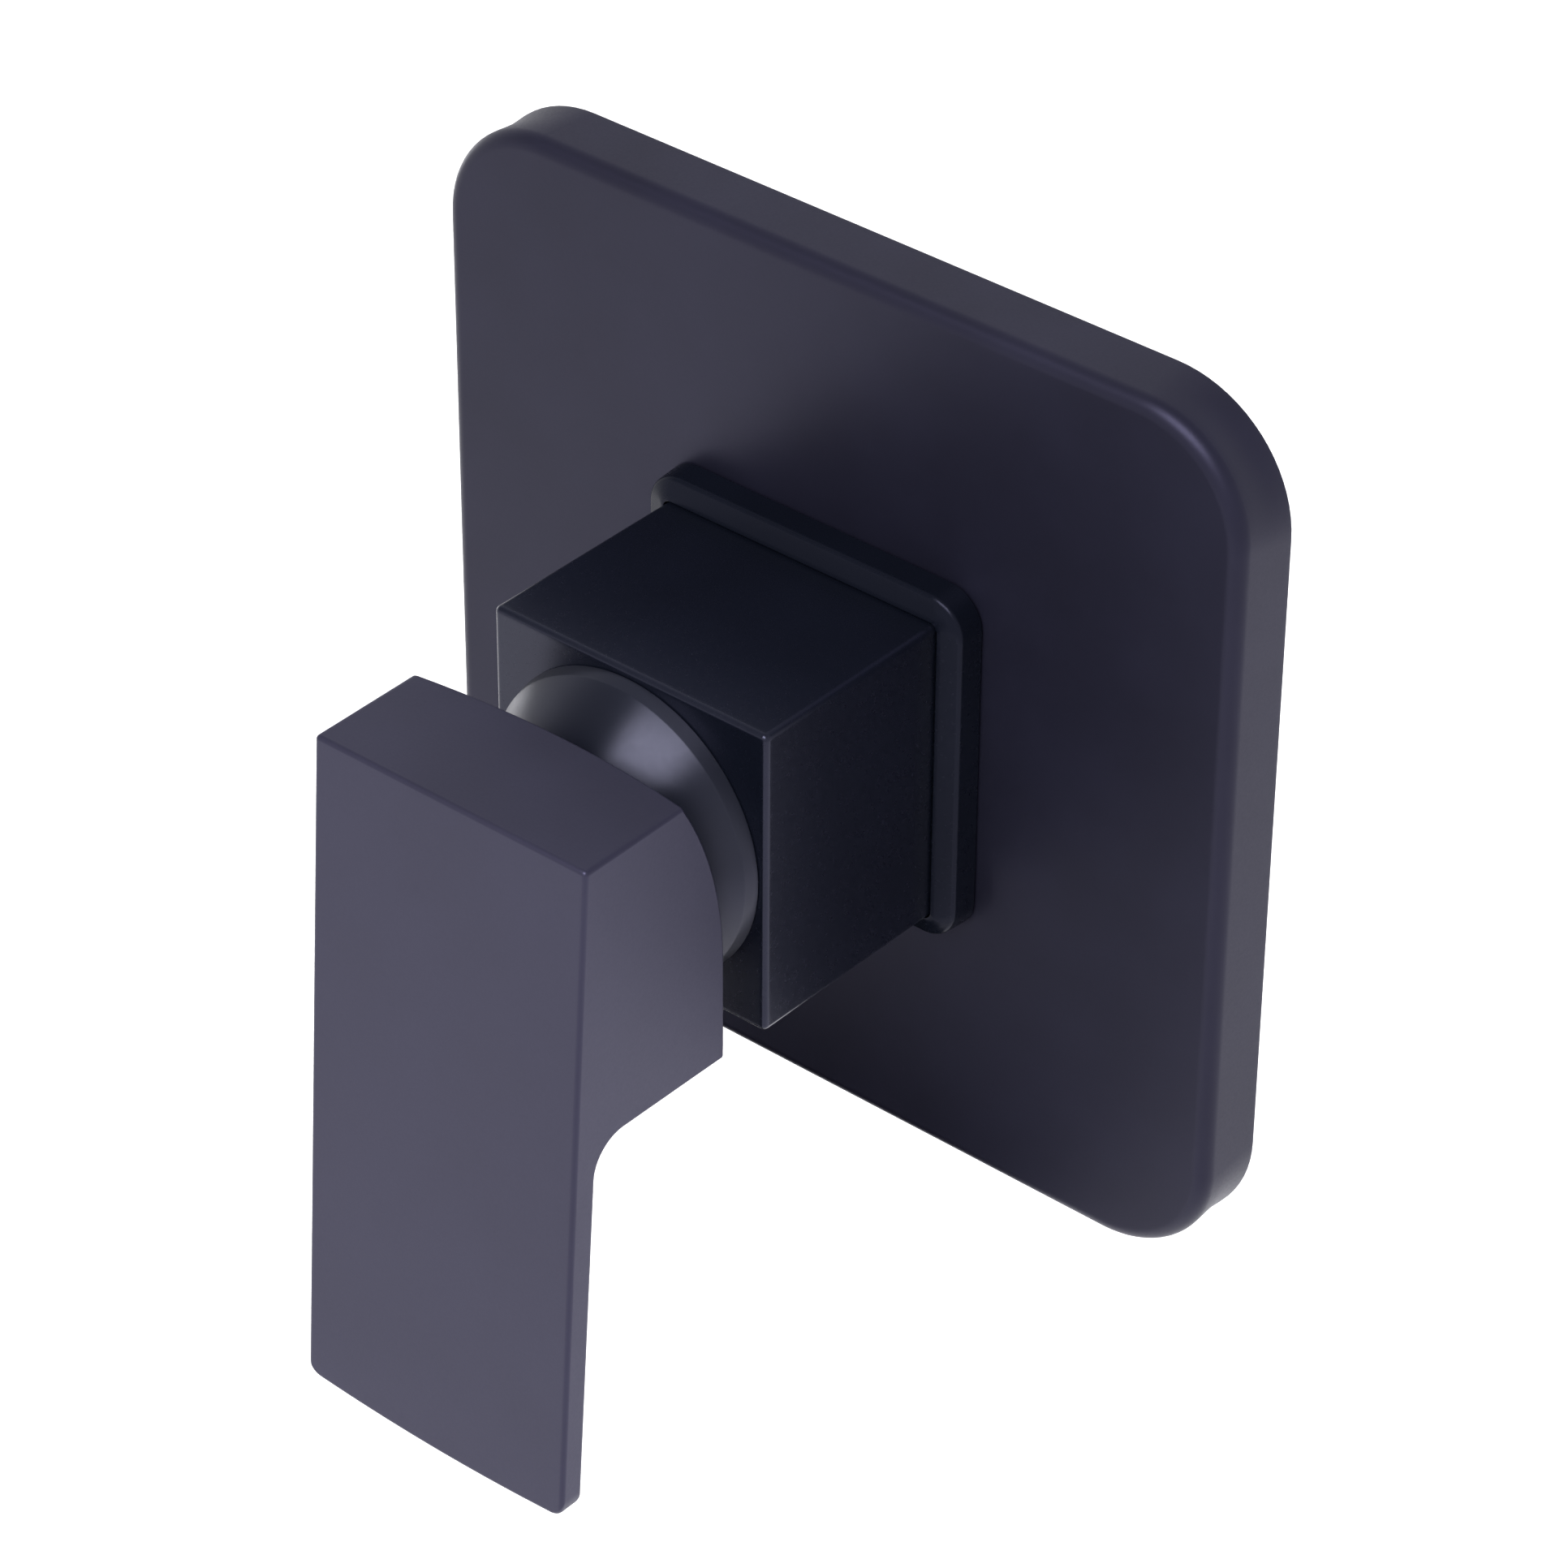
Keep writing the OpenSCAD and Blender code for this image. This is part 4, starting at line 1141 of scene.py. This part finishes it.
class MIXER_OT_body(bpy.types.Operator):
    """Make the cast brass body and the threads in its ports"""

    bl_idname = "mixer.body"
    bl_label = "Brass body"

    def execute(self, context):
        sizes = context.scene.mixer_sizes
        materials = all_materials(context.scene.mixer_finish)
        body = cast_body(sizes.casting_grain)
        finish_piece(body, None, "body", ["mixer_body"])
        depth = (THREAD_ROOT - THREAD_CREST + 0.15) * MM
        turns = 7.0
        start = PORT_AT - 0.9 - turns * sizes.thread_pitch / MM
        ports, facing = [], []
        for k in range(3):
            put = branch_frame(k)
            ports.append(put(0.0, 0.0, start))
            facing.append((put(0.0, 0.0, 1.0) - put(0.0, 0.0, 0.0)).normalized())
        threads = thread_tree().grow("pipe_threads", ports, [],
                                     {"Depth": depth, "Pitch": sizes.thread_pitch,
                                      "Turns": turns, "Steps": 64,
                                      "Middle radius": THREAD_CREST * MM + depth / 2,
                                      "Finish": materials["turned_brass"]}, None, facing)
        soften(threads, 30.0)
        finish_piece(threads, "turned_brass", "body", [])
        return {"FINISHED"}


class MIXER_OT_hidden(bpy.types.Operator):
    """Give the working pieces their materials"""

    bl_idname = "mixer.hidden"
    bl_label = "Working pieces"

    def execute(self, context):
        materials = all_materials(context.scene.mixer_finish)
        for finish, names in NODE_FINISH.items():
            for name in names:
                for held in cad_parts[name].material_slots:
                    held.material = materials[finish]
        return {"FINISHED"}


class MIXER_OT_studio(bpy.types.Operator):
    """Make the floor, the light and the camera"""

    bl_idname = "mixer.studio"
    bl_label = "Studio"

    def execute(self, context):
        studio = context.scene.mixer_studio
        make_card(studio)
        make_floor(studio)
        make_light(studio)
        make_camera(context.scene, studio)
        return {"FINISHED"}


def make_floor(studio):
    """A plain pale floor well below the wall-mounted part."""
    half = 8.0

    def sheet(bm):
        corners = ((-half, -half), (half, -half), (half, half), (-half, half))
        bm.faces.new([bm.verts.new((x, y, -studio.drop)) for x, y in corners])

    floor = new_piece("floor", sheet)
    material, tree, shader, where = blank_material("pale_floor")
    cloud = noise(tree, where, 0.6, 2.0)
    tree.links.new(tint(tree, cloud, (0.93, 0.93, 0.93), (0.9, 0.9, 0.9)),
                   shader.inputs["Base Color"])
    shader.inputs["Roughness"].default_value = 0.9
    shader.inputs["Specular IOR Level"].default_value = 0.0
    reach = node(tree, "ShaderNodeVectorMath", operation="LENGTH")
    tree.links.new(where, reach.inputs[0])
    glow = node(tree, "ShaderNodeMapRange", {"From Min": 2.2, "From Max": 6.0, "To Min": 0.0,
                                             "To Max": studio.floor_far},
                interpolation_type="SMOOTHSTEP")
    tree.links.new(reach.outputs["Value"], glow.inputs["Value"])
    shader.inputs["Emission Color"].default_value = (1, 1, 1, 1)
    tree.links.new(glow.outputs["Result"], shader.inputs["Emission Strength"])
    floor.data.materials.append(material)


def make_card(studio):
    """A dark card below the plate that keeps the floor's light from its lower half."""
    left, right, back, front = -studio.card_left, studio.card_right, 0.006, studio.card_out

    def sheet(bm):
        corners = ((left, -front), (right, -front), (right, -back), (left, -back))
        bm.faces.new([bm.verts.new((x, y, -studio.card_drop)) for x, y in corners])

    card = new_piece("dark_card", sheet)
    material, tree, shader, where = blank_material("dark_felt")
    tree.links.new(tint(tree, noise(tree, where, 300, 2.0), (0.006, 0.006, 0.008),
                        (0.01, 0.01, 0.012)), shader.inputs["Base Color"])
    shader.inputs["Roughness"].default_value = 0.95
    shader.inputs["Specular IOR Level"].default_value = 0.1
    card.data.materials.append(material)
    card.visible_camera = False


def aim(turn, rise):
    """Unit vector at an angle to the right of the front and above the horizon."""
    return Vector((math.sin(turn) * math.cos(rise), -math.cos(turn) * math.cos(rise),
                   math.sin(rise)))


def room_light(studio):
    """A room that brightens upwards, with one soft dark side."""
    world = bpy.data.worlds.new("studio_room")
    world.use_nodes = True
    tree = world.node_tree
    tree.nodes.clear()
    output = node(tree, "ShaderNodeOutputWorld")
    room = node(tree, "ShaderNodeBackground")
    where = node(tree, "ShaderNodeTexCoord").outputs["Generated"]
    split = node(tree, "ShaderNodeSeparateXYZ")
    tree.links.new(where, split.inputs["Vector"])
    parts = []
    for low, high, start, end in ((0.0, 0.3, studio.room_low, studio.room_middle),
                                  (0.3, 1.0, 0.0, studio.room_high - studio.room_middle)):
        part = node(tree, "ShaderNodeMapRange", {"From Min": low, "From Max": high,
                                                 "To Min": start, "To Max": end})
        tree.links.new(split.outputs["Z"], part.inputs["Value"])
        parts.append(part.outputs["Result"])
    height = node(tree, "ShaderNodeMath", operation="ADD")
    tree.links.new(parts[0], height.inputs[0])
    tree.links.new(parts[1], height.inputs[1])
    near = node(tree, "ShaderNodeVectorMath", operation="DOT_PRODUCT")
    tree.links.new(where, near.inputs[0])
    near.inputs[1].default_value = aim(studio.shade_turn, studio.shade_rise)
    shade = node(tree, "ShaderNodeMapRange",
                 {"From Min": math.cos(studio.shade_spread), "From Max": 1.0,
                  "To Min": 1.0, "To Max": 1.0 - studio.shade_depth},
                 interpolation_type="SMOOTHSTEP")
    tree.links.new(near.outputs["Value"], shade.inputs["Value"])
    both = node(tree, "ShaderNodeMath", operation="MULTIPLY")
    tree.links.new(height.outputs[0], both.inputs[0])
    tree.links.new(shade.outputs["Result"], both.inputs[1])
    tree.links.new(both.outputs[0], room.inputs["Strength"])
    tree.links.new(room.outputs["Background"], output.inputs["Surface"])
    bpy.context.scene.world = world


def soft_lamp(name, at, energy, wide, high, towards=(0.0, 0.0, 0.0), mirrored=True, cool=0.0):
    """A rectangular soft lamp that looks at a point, and may be kept out of reflections."""
    lamp = bpy.data.lights.new(name, "AREA")
    lamp.shape, lamp.color = "RECTANGLE", (1 - cool, 1 - 1.2 * cool, 1.0)
    lamp.energy, lamp.size, lamp.size_y = energy, wide, high
    holder = bpy.data.objects.new(name, lamp)
    holder.location = at
    holder.rotation_mode = "QUATERNION"
    holder.rotation_quaternion = (Vector(towards) - Vector(at)).to_track_quat("-Z", "Y")
    holder.visible_glossy = mirrored
    bpy.context.collection.objects.link(holder)


def make_light(studio):
    """The room and its soft lamps."""
    room_light(studio)
    for name, turn, rise, energy, wide, high in (
            ("key_lamp", 8, 47, studio.key_energy, 1.6, 1.1),
            ("left_lamp", -107, -14, studio.left_energy, 0.9, 0.6)):
        at = aim(math.radians(turn), math.radians(rise)) * 2.2
        soft_lamp(name, at, energy, wide, high)
    for name, x, y, energy, cool in (
            ("floor_lamp_back", -1.0, 1.3, studio.floor_back, 0.0),
            ("floor_lamp_left", -1.2, -1.2, studio.floor_left, studio.floor_cool),
            ("floor_lamp_right", 1.1, 1.3, studio.floor_right, studio.floor_cool)):
        soft_lamp(name, (x, y, 1.4), energy, 1.2, 1.2, (x, y, -studio.drop), False, cool)


def make_camera(scene, studio):
    """The camera at the photograph's viewing angle."""
    az, el, roll = studio.azimuth, studio.elevation, studio.roll
    back = Vector((math.sin(az) * math.cos(el), -math.cos(az) * math.cos(el), math.sin(el)))
    level_right = Vector((math.cos(az), math.sin(az), 0.0))
    level_up = back.cross(level_right)
    right = math.cos(roll) * level_right + math.sin(roll) * level_up
    up = -math.sin(roll) * level_right + math.cos(roll) * level_up
    data = bpy.data.cameras.new("photo_camera")
    data.sensor_width, data.sensor_fit, data.lens = 36.0, "HORIZONTAL", studio.lens
    data.clip_start, data.clip_end = 0.05, 50.0
    camera = bpy.data.objects.new("photo_camera", data)
    turn = Matrix((right, up, back)).transposed().to_4x4()
    camera.matrix_world = Matrix.Translation(
        back * studio.distance + right * studio.aside + up * studio.raised) @ turn
    bpy.context.collection.objects.link(camera)
    scene.camera = camera
    scene.view_settings.view_transform = "Standard"


STEPS = (("mixer.plate", "plate"), ("mixer.collar", "collar"), ("mixer.sleeve", "sleeve"),
         ("mixer.dome", "dome"), ("mixer.handle", "handle"), ("mixer.strip", "strip"),
         ("mixer.body", "body"), ("mixer.hidden", "hidden"), ("mixer.studio", "studio"))


class MIXER_PT_panel(bpy.types.Panel):
    """Lists the pieces and the settings"""

    bl_idname = "MIXER_PT_panel"
    bl_label = "Shower Mixer"
    bl_space_type = "VIEW_3D"
    bl_region_type = "UI"
    bl_category = "Shower Mixer"

    def draw(self, context):
        for operator, _ in STEPS:
            self.layout.operator(operator)
        for group in (context.scene.mixer_sizes, context.scene.mixer_finish,
                      context.scene.mixer_studio):
            for key in group.__annotations__:
                self.layout.prop(group, key)


CLASSES = (MixerSizes, MixerFinish, MixerStudio, MIXER_OT_plate, MIXER_OT_collar,
           MIXER_OT_sleeve, MIXER_OT_dome, MIXER_OT_handle, MIXER_OT_strip, MIXER_OT_body,
           MIXER_OT_hidden, MIXER_OT_studio, MIXER_PT_panel)


def register():
    for cls in CLASSES:
        bpy.utils.register_class(cls)
    bpy.types.Scene.mixer_sizes = PointerProperty(type=MixerSizes)
    bpy.types.Scene.mixer_finish = PointerProperty(type=MixerFinish)
    bpy.types.Scene.mixer_studio = PointerProperty(type=MixerStudio)


def unregister():
    del bpy.types.Scene.mixer_studio
    del bpy.types.Scene.mixer_finish
    del bpy.types.Scene.mixer_sizes
    for cls in reversed(CLASSES):
        bpy.utils.unregister_class(cls)


def main():
    """Makes everything in order."""
    register()
    for _, name in STEPS:
        getattr(bpy.ops.mixer, name)()


if __name__ == "__main__":
    main()
